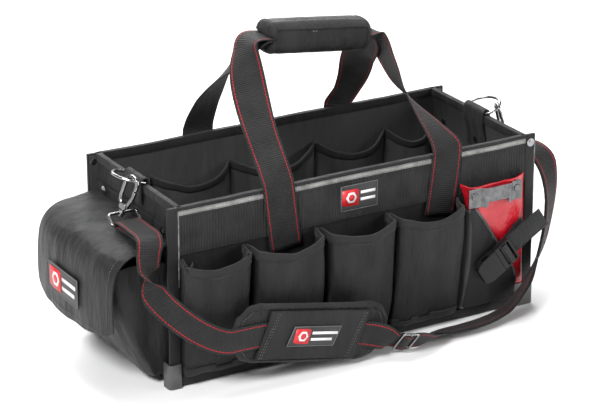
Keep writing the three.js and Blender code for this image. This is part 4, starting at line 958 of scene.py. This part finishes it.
cord_grey = Finish("cord_grey", (0.1, 0.1, 0.1), 0.45, Sheen_Weight=0.2)
cord_grey.colour(cord_grey.tint(cord_grey.speckle(90, 4.0), (0.03, 0.03, 0.03), (0.2, 0.2, 0.2)))
cord_grey.bump(cord_grey.speckle(1200, 2.0), 0.0001, 0.5)
strip_low, strip_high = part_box("front_left_corner_strip")
corner_cord("left_corner_cord", strip_high[0] + 0.0004, strip_low[1] + 0.0006, 0.15, 0.262, 0.0011)
strip_low, strip_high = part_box("front_right_corner_strip")
corner_cord("right_corner_cord", strip_high[0] - 0.0006, strip_low[1] + 0.0006, 0.10, 0.262, 0.0009)

# %% [markdown]
# ## Patches
# The three badges are raised patches with a generic sign: a nut as a white ring on a red field, and
# two plain bars. Each is laid out flat, in millimetres from the patch's middle, and then turned onto
# the largest face of its CAD node.

# %% The badge and its places
def flat_shape(form, outline, thick, turn):
    before = set(form.verts)
    corners = [form.verts.new((x, y, 0)) for x, y in outline]
    face = form.faces.new(corners)
    grown = bmesh.ops.extrude_face_region(form, geom=[face])["geom"]
    bmesh.ops.translate(
        form, verts=[g for g in grown if isinstance(g, bmesh.types.BMVert)], vec=(0, 0, thick))
    fresh = [v for v in form.verts if v not in before]
    bmesh.ops.transform(form, matrix=turn, verts=fresh)


def ring_outline(radius, sides):
    turns = [k * 2 * math.pi / sides for k in range(sides)]
    return [(radius * math.cos(turn), radius * math.sin(turn)) for turn in turns]


for node, hint, lean in (
    ("flap_patch", (0, -1, 0), 0.0), ("band_patch", (1, 0, 0), 0.0), ("pad_patch", (1, 0, -0.2), 0.12),
):
    turn, half_long, half_tall = face_frame(node, hint)
    shown(node + "_plate", bevelled(node, 0.0006), cover_skin, "moulded", node)
    frame_rim = whole_faces(node)
    front = max(
        (f for f in frame_rim.faces if f.normal.dot(turn.col[2].xyz) > 0.9), key=lambda f: f.calc_area())
    bmesh.ops.delete(frame_rim, geom=[f for f in frame_rim.faces if f is not front], context="FACES")
    outer = frame_rim.faces[:]
    bmesh.ops.inset_individual(frame_rim, faces=outer, thickness=0.0009)
    outer = bmesh.ops.inset_individual(frame_rim, faces=outer, thickness=0.0007)["faces"]
    bmesh.ops.delete(
        frame_rim, geom=[f for f in frame_rim.faces if f not in outer], context="FACES")
    raised_rim = bmesh.ops.extrude_face_region(frame_rim, geom=frame_rim.faces[:])["geom"]
    bmesh.ops.translate(
        frame_rim, verts=[g for g in raised_rim if isinstance(g, bmesh.types.BMVert)],
        vec=turn.col[2].xyz * 0.0005)
    bmesh.ops.recalc_face_normals(frame_rim, faces=frame_rim.faces[:])
    shown(node + "_rim", frame_rim, rim_grey, "moulded")
    field = min(half_tall * 0.74, half_long * 0.4)
    centre = -half_long * 0.42

    def laid(x, y):
        return centre + x + y * lean, y

    red = bmesh.new()
    square = [(-field * 1.25, -field * 0.8), (-field * 0.4, -field), (field, -field), (field, field * 0.8),
              (field * 0.7, field), (-field * 1.25, field)]
    flat_shape(red, [laid(x, y) for x, y in square], 0.0005, turn)
    bmesh.ops.recalc_face_normals(red, faces=red.faces[:])
    shown(node + "_field", red, emblem_red, "moulded")
    white = bmesh.new()
    lifted = turn @ Matrix.Translation((0, 0, 0.0005))
    flat_shape(white, [laid(x, y) for x, y in ring_outline(field * 0.72, 6)], 0.0003, lifted)
    for k, width in enumerate((1.0, 0.8)):
        y, tall = field * (0.42 - 0.84 * k), field * 0.17
        start = field * 1.25
        stop = min(half_long * 0.86 - centre, start + half_long * width)
        bar = [(start, y - tall), (stop, y - tall), (stop, y + tall), (start, y + tall)]
        flat_shape(white, [laid(x, y) for x, y in bar], 0.0005, turn)
    bmesh.ops.recalc_face_normals(white, faces=white.faces[:])
    shown(node + "_signs", white, emblem_white, "moulded")
    hole = bmesh.new()
    raised = turn @ Matrix.Translation((0, 0, 0.0008))
    flat_shape(hole, [laid(x, y) for x, y in ring_outline(field * 0.4, 24)], 0.0002, raised)
    bmesh.ops.recalc_face_normals(hole, faces=hole.faces[:])
    shown(node + "_nut_hole", hole, emblem_red, "moulded")

# %% [markdown]
# ## Metal and moulded pieces
# Cast hooks have no sharp edges: metal and plating round them all. Remeshing the CAD form into small
# even cells and smoothing it rounds those edges, while its broad flats stay. The feet and the pad's
# cover are larger and plainer, so a bevel along their edges is enough.

# %% Cast pieces
def cast(node, finish, slot, cell, rounds=2, body="tote"):
    piece = shown(node + "_cast", copied(node, joined=False), finish, slot, node, body=body)
    cells = piece.modifiers.new("cells", "REMESH")
    cells.mode = "VOXEL"
    cells.voxel_size = cell
    settled(piece)
    form = bmesh.new()
    form.from_mesh(piece.data)
    for _ in range(rounds):
        bmesh.ops.smooth_vert(
            form, verts=form.verts, factor=0.5, use_axis_x=True, use_axis_y=True, use_axis_z=True)
    form.to_mesh(piece.data)
    form.free()
    piece.data.polygons.foreach_set("use_smooth", [True] * len(piece.data.polygons))
    return piece


for side in ("left", "right"):
    cast(side + "_hook", chrome.material, "chrome", 0.0005, 3)
    cast(side + "_hook_gate", chrome.material, "chrome", 0.0004, 2, body=side + "_gate")
    cast(side + "_d_ring", chrome.material, "chrome", 0.0005, 3)
    cast(side + "_swivel_ring", chrome.material, "chrome", 0.0005, 3)
cast("tri_glide", chrome.material, "chrome", 0.0005, 3)
cast("tape_clip", steel.material, "chrome", 0.00035, 1)
for node in (
    "front_right_ear_rivet", "back_left_ear_rivet", "left_back_rivet", "left_front_rivet",
    "right_back_rivet", "right_tab_rivet",
):
    cast(node, chrome.material, "chrome", 0.0003, 1)
shown("pad_cover_cloth", bevelled("pad_cover", 0.0007), panel_cloth, "cloth", "pad_cover")
cast("buckle_socket", plastic, "moulded", 0.0006, 2)
cast("buckle_plug", plastic, "moulded", 0.0006, 2)
for corner in ("front_left", "front_right", "back_left", "back_right"):
    foot = corner + "_foot"
    shown(foot + "_moulding", bevelled(foot, 0.0009), foot_rubber, "rubber", foot)
